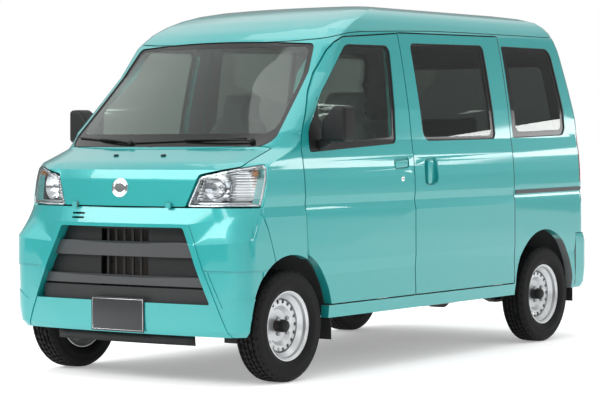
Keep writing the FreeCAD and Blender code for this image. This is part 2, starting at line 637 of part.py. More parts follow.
def seat_rear():
    """The rear bench: cushion, back and the legs that stand it on the load floor."""
    x1 = BENCH_HALF
    cushion = box(-x1, x1, BENCH_Y0, BENCH_Y1, LOAD_FLOOR_Z + 60, LOAD_FLOOR_Z + 200)
    back = box(-x1, x1, BENCH_Y1 - 90, BENCH_Y1, LOAD_FLOOR_Z + 180, LOAD_FLOOR_Z + 640)
    legs = [box(x - 20, x + 20, BENCH_Y0 + 40, BENCH_Y1 - 40, LOAD_FLOOR_Z + SEAT_GAP, LOAD_FLOOR_Z + 61)
            for x in (-420, 0, 420)]
    return cushion.multiFuse([back] + legs).removeSplitter()


def grille():
    """The dark grille in the bumper: a backing with upright slots, and two wide bars across it."""
    zone = front_prism(GRILLE, -1900, -1560, -SEAT_GAP)
    back = bumper_block(18).cut(bumper_block(26)).common(zone)
    for i in range(GRILLE_SLOTS):
        x = (i - (GRILLE_SLOTS - 1) / 2) * GRILLE_PITCH
        back = back.cut(box(x - GRILLE_SLOT_W / 2, x + GRILLE_SLOT_W / 2, -1900, -1500, 420, 700))
    bars = []
    for z0, z1 in ((640, 690), (505, 565)):
        bars.append(bumper_block(6).cut(bumper_block(22)).common(zone).common(box(-600, 600, -1900, -1500, z0, z1)))
    return back.multiFuse(bars).removeSplitter()


def mirror_left():
    """Left door mirror: a rounded housing on an arm that is fixed to the door."""
    corners = [(-960, 1150, 20), (-880, 1150, 20), (-870, 1300, 30), (-950, 1318, 30)]
    shell = side_prism([(y, z, r) for y, z, r in corners], MIRROR_X, MIRROR_X + 150)
    ends = []
    for x, y, z in ((700, -1070, 1078), (MIRROR_X + 12, -950, 1180)):
        ends.append(Part.makePolygon([V(x, y + a, z + b) for a, b in
                                      ((-28, -16), (28, -16), (28, 16), (-28, 16), (-28, -16))]))
    arm = Part.makeLoft(ends, True, True).cut(body_block(-SEAT_GAP))
    return shell.fuse(biggest(arm)).removeSplitter()


print("glass and side panels")
DOOR_L = door_front()
SLIDE_L = door_slide()
SIDE_L = body_side()
add("body_side_left", SIDE_L)
add("body_side_right", mirrored(SIDE_L))
for side, flip in (("left", False), ("right", True)):
    turn = mirrored if flip else (lambda s: s)
    door = biggest(DOOR_L)
    # the hinge leaves reach out to the pillar's edge
    reach = side_prism(FRONT_DOOR, 350, FAR, SHUT_GAP / 2 - SEAT_GAP)
    leaves = [box(692, 716, y - 2 * SHUT_GAP, y + 12, z, z + 60).common(reach) for y, z in HINGES]
    add("door_front_" + side, turn(door.multiFuse(leaves).removeSplitter()))
    roller = box(696, 716, -120, -70, SILL_TOP_Z - SHUT_GAP / 2 + SEAT_GAP, SILL_TOP_Z + 20)
    add("door_slide_" + side, turn(biggest(SLIDE_L).fuse(roller).removeSplitter()))
    add("window_front_" + side, turn(biggest(glass(side_prism(FRONT_WINDOW, 350, FAR)))))
    add("mirror_" + side, turn(mirror_left()))
    add("knuckle_" + side, turn(knuckle()))
    sign = -1 if flip else 1
    for end, y in (("front", FRONT_AXLE_Y), ("rear", REAR_AXLE_Y)):
        add("tyre_" + end + "_" + side, tyre(sign, y))
        add("rim_" + end + "_" + side, rim(sign, y))

print("front, roof and rear")
panes = [biggest(glass(side_prism(w, 350, FAR))) for w in (SLIDE_WINDOW, QUARTER_WINDOW)]
add("side_glass", *[s for pane in panes for s in (pane, mirrored(pane))])

roof = SHELL.common(ABOVE_GUTTER).cut(front_prism(WINDSCREEN, -1900, -500))
roof = roof.cut(front_prism(GATE, 1200, 1900, SHUT_GAP / 2))
add("roof", biggest(roof))
add("windscreen", biggest(glass(front_prism(WINDSCREEN, -1900, -500))))

hood = SHELL.common(hood_zone(-SHUT_GAP / 2))
stop = box(280, 310, -1668, -1656, BUMPER[-1][0] + SEAT_GAP, HOOD_Z + 20)
add("hood", biggest(hood).multiFuse([stop, mirrored(stop)]).removeSplitter())

gate = SHELL.common(front_prism(GATE, 1200, 1900, -SHUT_GAP / 2)).cut(front_prism(GATE_WINDOW, 1200, 1900))
strap = box(300, 340, GATE_TOP_Y - 30, GATE_TOP_Y - 8, GATE_TOP_Z - 12, GATE_TOP_Z + SHUT_GAP / 2 - SEAT_GAP)
add("tailgate", biggest(gate).multiFuse([strap, mirrored(strap)]).removeSplitter())
add("tailgate_glass", biggest(glass(front_prism(GATE_WINDOW, 1200, 1900))))

lens = body_block(2).cut(body_block(7)).common(lamp_zone(-3))
add("headlamp_lenses", *pair(biggest(lens)).Solids)
bowl = body_block(7 + SEAT_GAP).cut(INNER).common(lamp_zone(-SEAT_GAP))
bowl = bowl.cut(body_block(0).cut(body_block(WALL - 8)).common(lamp_zone(-12)))
add("headlamp_bowls", *pair(biggest(bowl)).Solids)
tail = body_block(1).cut(body_block(WALL - 6)).common(front_prism(TAIL_LAMP, 1500, 1900, -SEAT_GAP))
tail = tail.common(box(0, FAR, 1560 + SEAT_GAP, 1900, 0, 1500))
add("tail_lamps", *pair(biggest(tail)).Solids)

bumper = bumper_block(0).cut(bumper_block(BUMPER_WALL))
zone = side_prism(BUMPER_SIDE, -FAR, FAR)
bumper = bumper.common(zone).cut(arch(FRONT_ARCH, 0, -FAR, FAR)).cut(front_prism(GRILLE, -1900, -1500))
add("front_bumper", biggest(bumper))
add("grille", biggest(grille()))
rear = rear_bumper_block(0).cut(rear_bumper_block(BUMPER_WALL))
rear = rear.common(box(-FAR, FAR, REAR_BUMPER_Y + PANEL_GAP, 1900, 0, 1000))
add("rear_bumper", biggest(rear))

rail_zone = side_prism([(832, 848, 4), (1575, 852, 4), (1575, 874, 4), (832, 870, 4)], 350, FAR)
rail = biggest(body_block(-4).cut(body_block(-SEAT_GAP)).common(rail_zone))
add("slide_rails", rail, mirrored(rail))

print("inside and underneath")
add("floor_pan", floor_pan())
add("chassis_frame", chassis_frame())
add("dashboard", dashboard())
add("steering_wheel", steering_wheel())
add("seats_front", *pair(seat_front()).Solids)
add("seat_rear", seat_rear())
add("engine", box(-ENGINE_HALF, ENGINE_HALF, ENGINE_Y0, ENGINE_Y1, RAIL_Z0 - 40, RISER_Z - SHEET))
add("suspension", *pair(suspension()).Solids)
add("rear_axle", rear_axle())

add("fuel_tank", box(-300, -60, 330, 900, RAIL_Z0 - 60, RAIL_Z1 - 20).cut(
    box(-400, 400, 530, 590, RAIL_Z0, RAIL_Z1)))
add("radiator", box(-300, 300, -1575, -1530, RAIL_Z1 - 5 + SEAT_GAP, RAIL_Z1 + 330))
add("exhaust", exhaust())
add("tow_eyes", *tow_eyes())
add("mud_flaps", *pair(mud_flaps()).Solids)

os.makedirs("parts", exist_ok=True)
for name, shape in parts.items():
    ok = shape.isValid()
    b = shape.BoundBox
    print(name, len(shape.Solids), "valid" if ok else "INVALID", [round(v) for v in
          (b.XMin, b.XMax, b.YMin, b.YMax, b.ZMin, b.ZMax)], round(shape.Volume / 1e6, 2))
    shape.exportStep("parts/" + name + ".step")
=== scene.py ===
# %% [markdown]
# A small one-box delivery van, dressed for a studio picture.
# The construction is already made: panels, glass, wheels and axles come in as a fixed frame of named
# nodes, each in its real place in metres. This lesson gives every surface its finish, makes the soft and
# small pieces that the frame leaves plain, and lights the van as a studio would.
# The front faces -Y, the van's left side is +X and the ground is Z 0.

# %% Load the frame
import json
import math
import bmesh
import bpy
from mathutils import Matrix, Vector
from mathutils.bvhtree import BVHTree


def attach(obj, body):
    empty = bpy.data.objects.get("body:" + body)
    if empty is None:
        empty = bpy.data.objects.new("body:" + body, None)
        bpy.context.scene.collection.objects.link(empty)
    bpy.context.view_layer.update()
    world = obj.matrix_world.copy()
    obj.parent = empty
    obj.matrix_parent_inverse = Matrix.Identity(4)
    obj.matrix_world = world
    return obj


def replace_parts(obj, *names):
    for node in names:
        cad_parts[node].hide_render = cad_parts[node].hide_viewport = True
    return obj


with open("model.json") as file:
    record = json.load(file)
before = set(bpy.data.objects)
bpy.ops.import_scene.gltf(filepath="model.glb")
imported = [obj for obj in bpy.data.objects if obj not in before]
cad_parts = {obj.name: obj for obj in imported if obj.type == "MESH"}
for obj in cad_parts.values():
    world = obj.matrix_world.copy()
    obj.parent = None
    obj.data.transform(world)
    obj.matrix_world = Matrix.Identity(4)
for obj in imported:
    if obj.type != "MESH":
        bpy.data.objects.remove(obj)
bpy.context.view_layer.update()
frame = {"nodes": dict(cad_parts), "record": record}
nodes = frame["nodes"]
MM = 0.001

# %% [markdown]
# The camera stands off the van's left front corner, at chest height, far away with a long lens, so that
# the verticals stay upright and the side shows nearly as wide as the nose. It is made first, because every
# later choice is judged through it. The place was fitted to the wheels, sills, lamps and roof.

# %% Camera
CAMERA_AT = Vector((6.8214, -9.576, 1.1814))
CAMERA_TURN, CAMERA_DOWN, CAMERA_ROLL = (math.radians(a) for a in (36.028, 1.716, -0.353))
CAMERA_LENS = 129.76

camera = bpy.data.objects.new("camera", bpy.data.cameras.new("camera"))
camera.data.lens = CAMERA_LENS
camera.data.sensor_width = 36
camera.data.clip_end = 200
turn = Matrix.Rotation(CAMERA_TURN, 4, "Z") @ Matrix.Rotation(math.pi / 2 - CAMERA_DOWN, 4, "X")
camera.matrix_world = Matrix.Translation(CAMERA_AT) @ turn @ Matrix.Rotation(CAMERA_ROLL, 4, "Z")
bpy.context.scene.collection.objects.link(camera)
bpy.context.scene.camera = camera
print("camera", round(CAMERA_AT.length, 2), "m from the origin")

# %% [markdown]
# Colours are picked as sRGB hex values, as a designer's swatch gives them, and a renderer counts in linear
# light, so one function turns them. Another adds a node with its settings and its links, and a third opens
# a new material at its surface shader.

# %% Colour and node helpers
MIX_A, MIX_B, MIX_OUT = 6, 7, 2


def linear(code, alpha=1.0):
    """An sRGB hex colour as linear RGBA."""
    parts = [int(code[i:i + 2], 16) / 255 for i in (1, 3, 5)]
    return tuple(c / 12.92 if c <= 0.04045 else ((c + 0.055) / 1.055) ** 2.4 for c in parts) + (alpha,)


def node(tree, kind, inputs=None, **settings):
    """Adds a node, sets its properties and fills or links its inputs by name or number."""
    made = tree.nodes.new(kind)
    for key, value in settings.items():
        setattr(made, key, value)
    for key, value in (inputs or {}).items():
        if isinstance(value, bpy.types.NodeSocket):
            tree.links.new(value, made.inputs[key])
        else:
            made.inputs[key].default_value = value
    return made


def surface(name, **sockets):
    """A new material and its surface shader, with the shader's sockets set by name."""
    made = bpy.data.materials.new(name)
    made.use_nodes = True
    shader = made.node_tree.nodes["Principled BSDF"]
    for key, value in sockets.items():
        shader.inputs[key.replace("_", " ")].default_value = value
    return made, made.node_tree, shader


def mixed(tree, factor, low, high):
    """The colour output of a mix of two colours by a factor."""
    mix = node(tree, "ShaderNodeMix", {"Factor": factor, MIX_A: low, MIX_B: high}, data_type="RGBA")
    return mix.outputs[MIX_OUT]


def noise_on(tree, size_mm, detail):
    """Noise on object coordinates with grains about size_mm across."""
    place = node(tree, "ShaderNodeTexCoord").outputs["Object"]
    wanted = {"Vector": place, "Scale": 1 / (size_mm * MM), "Detail": detail}
    return node(tree, "ShaderNodeTexNoise", wanted).outputs["Fac"]


def grain(tree, shader, size_mm, depth_mm):
    """A fine bump of noise."""
    height = noise_on(tree, size_mm, 4.0)
    bump = node(tree, "ShaderNodeBump", {"Height": height, "Strength": 1.0, "Distance": depth_mm * MM})
    tree.links.new(bump.outputs["Normal"], shader.inputs["Normal"])


def tint(tree, shader, low, high, size_mm):
    """A slow drift of the base colour between two hex values in patches about size_mm across."""
    colour = mixed(tree, noise_on(tree, size_mm, 3.0), linear(low), linear(high))
    tree.links.new(colour, shader.inputs["Base Color"])


def coloured(name, low, high=None, patch_mm=0.0, grained=None, **sockets):
    """A material of one hex colour, or of two that drift in patches. grained: size and depth in mm."""
    made, tree, shader = surface(name, **sockets)
    if high:
        tint(tree, shader, low, high, patch_mm)
    else:
        shader.inputs["Base Color"].default_value = linear(low)
    if grained:
        grain(tree, shader, *grained)
    return made


# %% [markdown]
# Car paint is a coloured base with fine aluminium flakes under a clear varnish. The base gives the mint
# colour, the flakes make it lighter where it faces the light, and the varnish adds a sharp white gleam on
# top. A partly metallic base with a full coat gives that in one shader.

# %% Body paint: metallic basecoat under clear lacquer
paint = coloured("mint_metallic_lacquer", "#189797", "#209f9e", 2.0, Metallic=0.30, Roughness=0.36,
                 Coat_Weight=1.0, Coat_Roughness=0.05)
print("paint", paint.name)

# %% [markdown]
# Plastics, rubber and trim come next. Moulded plastic shows a leather-like grain and a broad soft gleam,
# rubber is darker and duller, and enamel printed on glass is black and smooth.

# %% Plastics, rubber and enamel
black_trim = coloured("grained_black_polypropylene", "#121314", grained=(1.6, 0.12), Roughness=0.5,
                      Specular_IOR_Level=0.3)
bar_trim = coloured("satin_grey_abs", "#3a3c3e", grained=(1.2, 0.05), Roughness=0.42)
seal_rubber = coloured("epdm_seal_rubber", "#141415", grained=(0.8, 0.05), Roughness=0.62)
tyre_rubber = coloured("moulded_tyre_rubber", "#0c0c0d", "#131314", 40.0, (2.0, 0.10), Roughness=0.7,
                       Specular_IOR_Level=0.22)
enamel = coloured("black_glass_enamel", "#101112", "#151617", 30.0, Roughness=0.18)
cabin_trim = coloured("moulded_grey_cabin_trim", "#6a6e70", "#777b7c", 60.0, (1.5, 0.10), Roughness=0.6)
head_lining = coloured("needle_felt_head_lining", "#a3a5a2", "#b4b6b3", 4.0, Roughness=0.9)

# %% [markdown]
# Metals: silver-painted steel for the wheels, bright trim for the dome and the reflectors, and the dark
# sprayed steel, castings and exhaust that show only from below.

# %% Metals
wheel_silver = coloured("silver_wheel_enamel", "#c4c6c8", "#d2d4d5", 8.0, Metallic=0.75, Roughness=0.34)
bright = coloured("bright_chrome_plate", "#e6e8ea", "#f0f1f2", 20.0, Metallic=1.0, Roughness=0.07)
underbody = coloured("sprayed_underbody_steel", "#141516", "#202122", 25.0, (6.0, 0.25), Roughness=0.6)
casting = coloured("sand_cast_iron", "#35302c", "#4a4643", 12.0, (3.0, 0.3), Metallic=0.7, Roughness=0.65)
pipe_steel = coloured("aluminised_exhaust_steel", "#8d8a84", "#a39f98", 30.0, Metallic=0.9, Roughness=0.45)

# %% [markdown]
# Glass lets light through and mirrors the studio. The front panes have a faint green cast, and the panes of
# the load space are dyed dark, so that what is inside hardly shows.

# %% Glass and lamp plastics
def clear(name, code, ior=1.45):
    """A clear material with a cast of a hex colour."""
    return coloured(name, code, Roughness=0.0, IOR=ior, Transmission_Weight=1.0)


green_glass = clear("green_tinted_float_glass", "#d3e2da")
dark_glass = clear("dyed_privacy_glass", "#9aa39e")
lens_clear = clear("clear_polycarbonate", "#f4f6f7", 1.5)
lens_red = coloured("red_acrylic", "#a10d12", Roughness=0.12, Transmission_Weight=0.35)
print(len(bpy.data.materials), "materials so far")

# %% [markdown]
# The painted panels keep the exact form of the frame, but a frame mesh is loose triangles. A copy is
# merged, its normals are smoothed across the pressed curves and kept sharp at folds, and its cabin side
# gets the trim colour. The copy then stands for the node.

# %% Panels
VERT, FACE = bmesh.types.BMVert, bmesh.types.BMFace
FOLD = 26
BODY_OF = {n: b for b, members in frame["record"]["behaviour"]["bodies"].items() for n in members}


def own(name, mesh, body):
    """Puts a mesh in the scene as a piece that rides on a body."""
    piece = bpy.data.objects.new(name, mesh)
    bpy.context.scene.collection.objects.link(piece)
    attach(piece, body)
    return piece


def smooth(mesh, sharp=FOLD):
    """Smooth shading, with folds of more than sharp degrees kept."""
    mesh.shade_smooth()
    mesh.set_sharp_from_angle(angle=math.radians(sharp))


def mesh_of(bm, name, materials=(), sharp=None):
    """Turns a bmesh into a mesh with its materials, and smooths it if an angle is given."""
    mesh = bpy.data.meshes.new(name)
    bm.to_mesh(mesh)
    bm.free()
    for made in materials:
        mesh.materials.append(made)
    if sharp:
        smooth(mesh, sharp)
    return mesh


def even_out(piece):
    """Weighs the normals by face area, so that wide faces stay flat beside their folds."""
    even = piece.modifiers.new("even", "WEIGHTED_NORMAL")
    even.keep_sharp = True
    return piece


def made_by(out, kind):
    """The vertices or the faces among what a bmesh operator made."""
    return [part for part in out["geom"] if isinstance(part, kind)]


def bevel(bm, edges, offset, segments=3, clamp=False):
    """Rounds some edges by an offset in metres."""
    return bmesh.ops.bevel(bm, geom=edges, offset=offset, offset_type="OFFSET", segments=segments,
                           profile=0.5, affect="EDGES", material=-1, clamp_overlap=clamp)


def smoothed(name):
    """A merged copy of a node's mesh with smooth curves and sharp folds."""
    mesh = nodes[name].data.copy()
    bm = bmesh.new()
    bm.from_mesh(mesh)
    bmesh.ops.remove_doubles(bm, verts=bm.verts, dist=0.02 * MM)
    bmesh.ops.dissolve_degenerate(bm, edges=bm.edges, dist=0.02 * MM)
    bm.to_mesh(mesh)
    bm.free()
    smooth(mesh)
    return mesh


def dress(name, materials, choose):
    """Replaces a node by its smoothed copy. choose(centre, normal) gives a face's material number."""
    mesh = smoothed(name)
    mesh.materials.clear()
    for made in materials:
        mesh.materials.append(made)
    for face in mesh.polygons:
        face.material_index = choose(face.center, face.normal)
    piece = own(name + "_dressed", mesh, BODY_OF[name])
    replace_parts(piece, name)
    return even_out(piece)


def faces_in(centre, normal):
    """1 where a face of the body's wall looks into the van, 0 where it looks out."""
    middle = Vector((0, 0.1, 1.0))
    away = Vector((centre.x - middle.x, (centre.y - middle.y) * 0.45, (centre.z - middle.z) * 0.8))
    return 1 if normal.dot(away) < -0.05 else 0


PANELS = ["body_side_left", "body_side_right", "door_front_left", "door_front_right", "door_slide_left",
          "door_slide_right", "tailgate", "hood", "rear_bumper"]
panels = {name: dress(name, [paint, cabin_trim], faces_in) for name in PANELS}
panels["roof"] = dress("roof", [paint, head_lining], lambda c, n: 1 if n.z < -0.3 else 0)
print(len(panels), "painted panels")

# %% [markdown]
# Small pieces are placed by feeling for the skin: a ray is sent at the dressed panels and the piece stands
# where it lands, turned to the surface there. So each one sits on what carries it.

# %% Feeling for the skin
def skin_of(*names):
    """A search tree over the meshes of some nodes."""
    points, faces = [], []
    for name in names:
        mesh = nodes[name].data
        start = len(points)
        points += [v.co.copy() for v in mesh.vertices]
        faces += [[start + i for i in p.vertices] for p in mesh.polygons]
    return BVHTree.FromPolygons(points, faces)


SKIN = skin_of(*PANELS, "front_bumper", "roof", "windscreen")


def touch(start, towards, skin=SKIN):
    """Where a ray in millimetres first meets the skin: the point in metres and the outward normal there."""
    towards = Vector(towards).normalized()
    at, normal, _, _ = skin.ray_cast(Vector(start) * MM, towards)
    return at, normal if normal.dot(towards) < 0 else -normal


def side_point(y, z, side=1, skin=SKIN):
    return touch((side * 1200, y, z), (-side, 0, 0), skin)


def front_point(x, z, skin=SKIN):
    return touch((x, -2300, z), (0, 1, 0), skin)


def stand(at, normal, up=(0, 0, 1)):
    """A frame at a point with its Z along the normal and its Y as near as can be to up."""
    z = normal.normalized()
    x = Vector(up).cross(z).normalized()
    return Matrix.Translation(at) @ Matrix((x, z.cross(x), z)).transposed().to_4x4()


def finish_mesh(bm, name, material, body="root", sharp=35):
    """Merges, turns the faces outwards, smooths and places a bmesh as a piece."""
    bmesh.ops.remove_doubles(bm, verts=bm.verts, dist=0.01 * MM)
    bmesh.ops.recalc_face_normals(bm, faces=bm.faces)
    return own(name, mesh_of(bm, name, [material], sharp), body)


def block(bm, size, frame_at, round_by, lift=0):
    """Adds a block of a size in mm with rounded edges, lifted by some mm along the Z of its frame."""
    made = bmesh.ops.create_cube(bm, size=1.0)["verts"]
    bmesh.ops.scale(bm, vec=Vector(size) * MM, verts=made)
    out = bevel(bm, list({e for v in made for e in v.link_edges}), round_by * MM, 3, True)
    made = list({v for f in out["faces"] for v in f.verts} | {v for v in made if v.is_valid})
    bmesh.ops.transform(bm, matrix=frame_at @ Matrix.Translation((0, 0, lift * MM)), verts=made)


def turned(bm, section, matrix, steps=48):
    """Spins a section of (radius, height) in mm about Z, then moves it by the matrix."""
    row = [bm.verts.new((r * MM, 0, h * MM)) for r, h in section]
    edges = [bm.edges.new(pair) for pair in zip(row, row[1:])]
    out = bmesh.ops.spin(bm, geom=row + edges, cent=(0, 0, 0), axis=(0, 0, 1), angle=math.tau, steps=steps,
                         use_merge=True, use_duplicate=False)
    made = {v for v in out["geom_last"] if isinstance(v, VERT)} | set(row)
    grown = True
    while grown:
        more = {e.other_vert(v) for v in made for e in v.link_edges} - made
        made |= more
        grown = bool(more)
    bmesh.ops.remove_doubles(bm, verts=list(made), dist=0.01 * MM)
    bmesh.ops.transform(bm, matrix=matrix, verts=[v for v in made if v.is_valid])


def rod(name, points, radius, material, body="root", closed=False):
    """A round bar or bead through points in metres, made as a curve and turned into a mesh."""
    curve = bpy.data.curves.new(name, "CURVE")
    curve.dimensions = "3D"
    curve.bevel_depth = radius * MM
    curve.bevel_resolution = 3
    curve.use_fill_caps = not closed
    spline = curve.splines.new("POLY")
    spline.points.add(len(points) - 1)
    for target, p in zip(spline.points, points):
        target.co = (*p, 1)
    spline.use_cyclic_u = closed
    holder = bpy.data.objects.new(name, curve)
    bm = bmesh.new()
    bm.from_mesh(bpy.data.meshes.new_from_object(holder))
    bpy.data.objects.remove(holder)
    return finish_mesh(bm, name, material, body, 50)


# %% [markdown]
# The bumper skin, its grille and the recesses of the handles have folds and openings that are easiest to
# think of as wood cut with a saw: a block with the outer form, minus the same block a wall smaller, minus a
# prism for each opening. Blender's exact boolean does that on closed meshes. The block itself is lofted
# through a few outlines, each a row of points on curves and lines, with bridge_loops between them.

# %% Saw and block
def holder_of(bm, name="block"):
    """A temporary object with a bmesh, its faces turned outwards."""
    bmesh.ops.remove_doubles(bm, verts=bm.verts, dist=0.01 * MM)
    bmesh.ops.recalc_face_normals(bm, faces=bm.faces)
    made = bpy.data.objects.new(name, mesh_of(bm, name))
    bpy.context.scene.collection.objects.link(made)
    return made


def bm_of(piece):
    """The bmesh of a temporary object, which is removed."""
    bm = bmesh.new()
    bm.from_mesh(piece.data)
    bpy.data.objects.remove(piece)
    return bm


def saw(target, how, cutter, keep_cutter=False):
    """Applies one exact boolean to an object."""
    step = target.modifiers.new("saw", "BOOLEAN")
    step.operation = how
    step.solver = "EXACT"
    step.object = cutter
    bpy.context.view_layer.update()
    graph = bpy.context.evaluated_depsgraph_get()
    result = bpy.data.meshes.new_from_object(target.evaluated_get(graph))
    target.modifiers.clear()
    target.data = result
    if not keep_cutter:
        bpy.data.objects.remove(cutter)
    return target


def prism(kind, corners, near, far, round_by=0.0):
    """A prism through an outline in mm, seen from the front (x, z) or the side (y, z)."""
    bm = bmesh.new()
    ring = [bm.verts.new(((a, near, b) if kind == "front" else (near, a, b))) for a, b in corners]
    face = bm.faces.new(ring)
    out = bmesh.ops.extrude_face_region(bm, geom=[face])
    shift = (0, far - near, 0) if kind == "front" else (far - near, 0, 0)
    bmesh.ops.translate(bm, vec=shift, verts=made_by(out, VERT))
    if round_by:
        axis = 1 if kind == "front" else 0
        long = [e for e in bm.edges if abs(e.verts[0].co[axis] - e.verts[1].co[axis]) > 1]
        bevel(bm, long, round_by, 5)
    bmesh.ops.scale(bm, vec=(MM, MM, MM), verts=bm.verts)
    return holder_of(bm, "prism")


# z at centre, corner and side, half width, centre y, arc end x, y, shoulder x, y, corner x, y, side start y
NOSE = [
    (238, 238, 238, 706, -1679, 470, -1661, 580, -1647, 664, -1618, -1540),
    (264, 264, 264, 722, -1690, 500, -1674, 612, -1659, 688, -1630, -1556),
    (330, 330, 330, 734, -1692, 510, -1676, 622, -1661, 702, -1631, -1560),
    (560, 560, 560, 736, -1692, 500, -1674, 628, -1658, 708, -1630, -1560),
    (666, 687, 690, 737, -1691, 443, -1666, 626, -1656, 707, -1629, -1560),
    (672, 776, 808, 735, -1690, 440, -1664, 560, -1622, 655, -1578, -1500),
    (762, 808, 824, 736, -1689, 405, -1659, 536, -1616, 636, -1576, -1492),
    (840, 840, 840, 736.5, -1662, 379, -1640, 510, -1612, 614, -1577, -1488),
]
NOSE_BACK_Y = -1200


def curve_through(p, q, r, steps):
    """Points on the quadratic curve that starts at p, is at q midway and ends at r."""
    out = []
    for i in range(steps + 1):
        t = i / steps
        a, b, c = 2 * (t - 0.5) * (t - 1), 4 * t * (1 - t), 2 * t * (t - 0.5)
        out.append(Vector(p) * a + Vector(q) * b + Vector(r) * c)
    return out


def nose_block(inset, over=0):
    """The nose's outer form below the hood, drawn in by inset mm and made taller by over at both ends."""
    bm = bmesh.new()
    loops = []
    for i, (z, zm, zs, half, yc, xa, ya, xb, yb, xm, ym, ys) in enumerate(NOSE):
        if i in (0, len(NOSE) - 1):
            z, zm, zs = (h + (over if i else -over) for h in (z, zm, zs))
        t = inset
        zb = (z + zm) / 2
        half, yc, ya, ys = half - t, yc + t, ya + t, ys + 0.35 * t
        xa, xb, yb, xm, ym = xa - 0.2 * t, xb - 0.45 * t, yb + 0.9 * t, xm - 0.72 * t, ym + 0.62 * t
        front = curve_through((-xa, ya, z), (0, yc, z), (xa, ya, z), 12)
        corner = curve_through((xb, yb, zb), (xm, ym, zm), (half, ys, zs), 10)
        left = corner + [Vector((half, NOSE_BACK_Y, zs))]
        left[-1].y += over
        points = front + left + [Vector((-p.x, p.y, p.z)) for p in reversed(left)]
        ring = [bm.verts.new(p * MM) for p in points]
        edges = [bm.edges.new(pair) for pair in zip(ring, ring[1:] + ring[:1])]
        loops.append(edges)
    for low, high in zip(loops, loops[1:]):
        bmesh.ops.bridge_loops(bm, edges=low + high)
    bmesh.ops.contextual_create(bm, geom=loops[0])
    bmesh.ops.contextual_create(bm, geom=loops[-1])
    bmesh.ops.triangulate(bm, faces=bm.faces)
    return holder_of(bm, "nose")


def layer(outer, inner):
    """A skin of the nose between two depths in mm."""
    return saw(nose_block(outer), "DIFFERENCE", nose_block(inner, 3))


# %% [markdown]
# The bumper is one moulding that carries a raised frame round the grille. Its upper edge leans back to the
# hood, and at each corner a flat three-sided facet runs from the headlamp to the frame. That facet and the
# bright shelf give the van its face, so they are cut in the form and not painted.

# %% Front bumper
GRILLE_HOLE = [(-549, 389), (549, 389), (383, 748), (-383, 748)]
FLANGE_EDGE = [(-556, 383), (556, 383), (389, 754), (-389, 754)]
FRAME_EDGE = [(-656, 228), (656, 228), (411, 766), (-411, 766)]
APRON = [(-632, 200), (632, 200), (549, 389), (-549, 389)]
NOSE_SIDE = [(-1900, 150), (-1900, 843), (-1497, 843), (-1510, 810), (-1467, 743), (-1436, 666), (-1405, 582),
             (-1300, 500), (-1300, 150)]
CORNER_PANEL = [(530, 543), (760, 543), (760, 420), (694, 418), (612, 374)]
ARCH_Y, ARCH_Z, ARCH_R = -1276, 302, 310
AHEAD_Y, BEHIND_Y, SEAM_BACK_Y, FAR_X = -1900, -1500, -1350, 900


def through(outline, round_by=0.0):
    """A prism through the nose from ahead of it to behind its skin."""
    return prism("front", outline, AHEAD_Y, BEHIND_Y, round_by)


def oblong(x0, x1, z0, z1):
    return [(x0, z0), (x1, z0), (x1, z1), (x0, z1)]


def smoothed_piece(piece, name, materials, body, sharp=28):
    """Turns a temporary object into a finished piece with smooth curves and sharp folds."""
    bm = bm_of(piece)
    bmesh.ops.remove_doubles(bm, verts=bm.verts, dist=0.05 * MM)
    bmesh.ops.dissolve_degenerate(bm, edges=bm.edges, dist=0.05 * MM)
    return even_out(own(name, mesh_of(bm, name, materials, sharp), body))


bumper = layer(0, 24)
raised = saw(layer(-5, 20), "INTERSECT", through(FRAME_EDGE, 14))
raised = saw(raised, "DIFFERENCE", through(APRON))
bumper = saw(bumper, "UNION", raised)
bumper = saw(bumper, "UNION", saw(layer(12, 60), "INTERSECT", through(FLANGE_EDGE)))
bumper = saw(bumper, "DIFFERENCE", through(GRILLE_HOLE, 12))
bumper = saw(bumper, "INTERSECT", prism("side", NOSE_SIDE, -FAR_X, FAR_X))
arch = bmesh.new()
arch_at = Matrix.Translation((0, ARCH_Y * MM, ARCH_Z * MM)) @ Matrix.Rotation(math.pi / 2, 4, "Y")
bmesh.ops.create_cone(arch, cap_ends=True, segments=96, radius1=ARCH_R * MM, radius2=ARCH_R * MM, depth=2.0,
                      matrix=arch_at)
bumper = saw(bumper, "DIFFERENCE", holder_of(arch))
pressed = layer(-30, 4)
for side in (1, -1):
    panel = saw(through([(side * a, b) for a, b in CORNER_PANEL], 6), "INTERSECT", pressed, True)
    bumper = saw(bumper, "DIFFERENCE", panel)
    seam = prism("front", oblong(side * 515, side * 900, 546.5, 549.5), AHEAD_Y, SEAM_BACK_Y)
    bumper = saw(bumper, "DIFFERENCE", saw(seam, "INTERSECT", pressed, True))
bpy.data.objects.remove(pressed)
for low in (783, 804):
    bumper = saw(bumper, "DIFFERENCE", through(oblong(-316, -232, low, low + 9)))
bumper_piece = smoothed_piece(bumper, "front_bumper_dressed", [paint], "root")
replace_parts(bumper_piece, "front_bumper")
print("bumper", len(bumper_piece.data.polygons), "faces")

# %% [markdown]
# Behind the opening stands a black backing with six tall gaps, and two broad bars cross it, each with a
# ledge that leans forward. Below the bumper hangs a thin air dam.

# %% Grille and air dam
GRILLE_ZONE = [(-548, 390), (548, 390), (382, 747), (-382, 747)]
GAPS, GAP_PITCH, GAP_HALF = 6, 52, 19
BARS = ((605, 676), (468, 514))
BAR_EDGE = 14

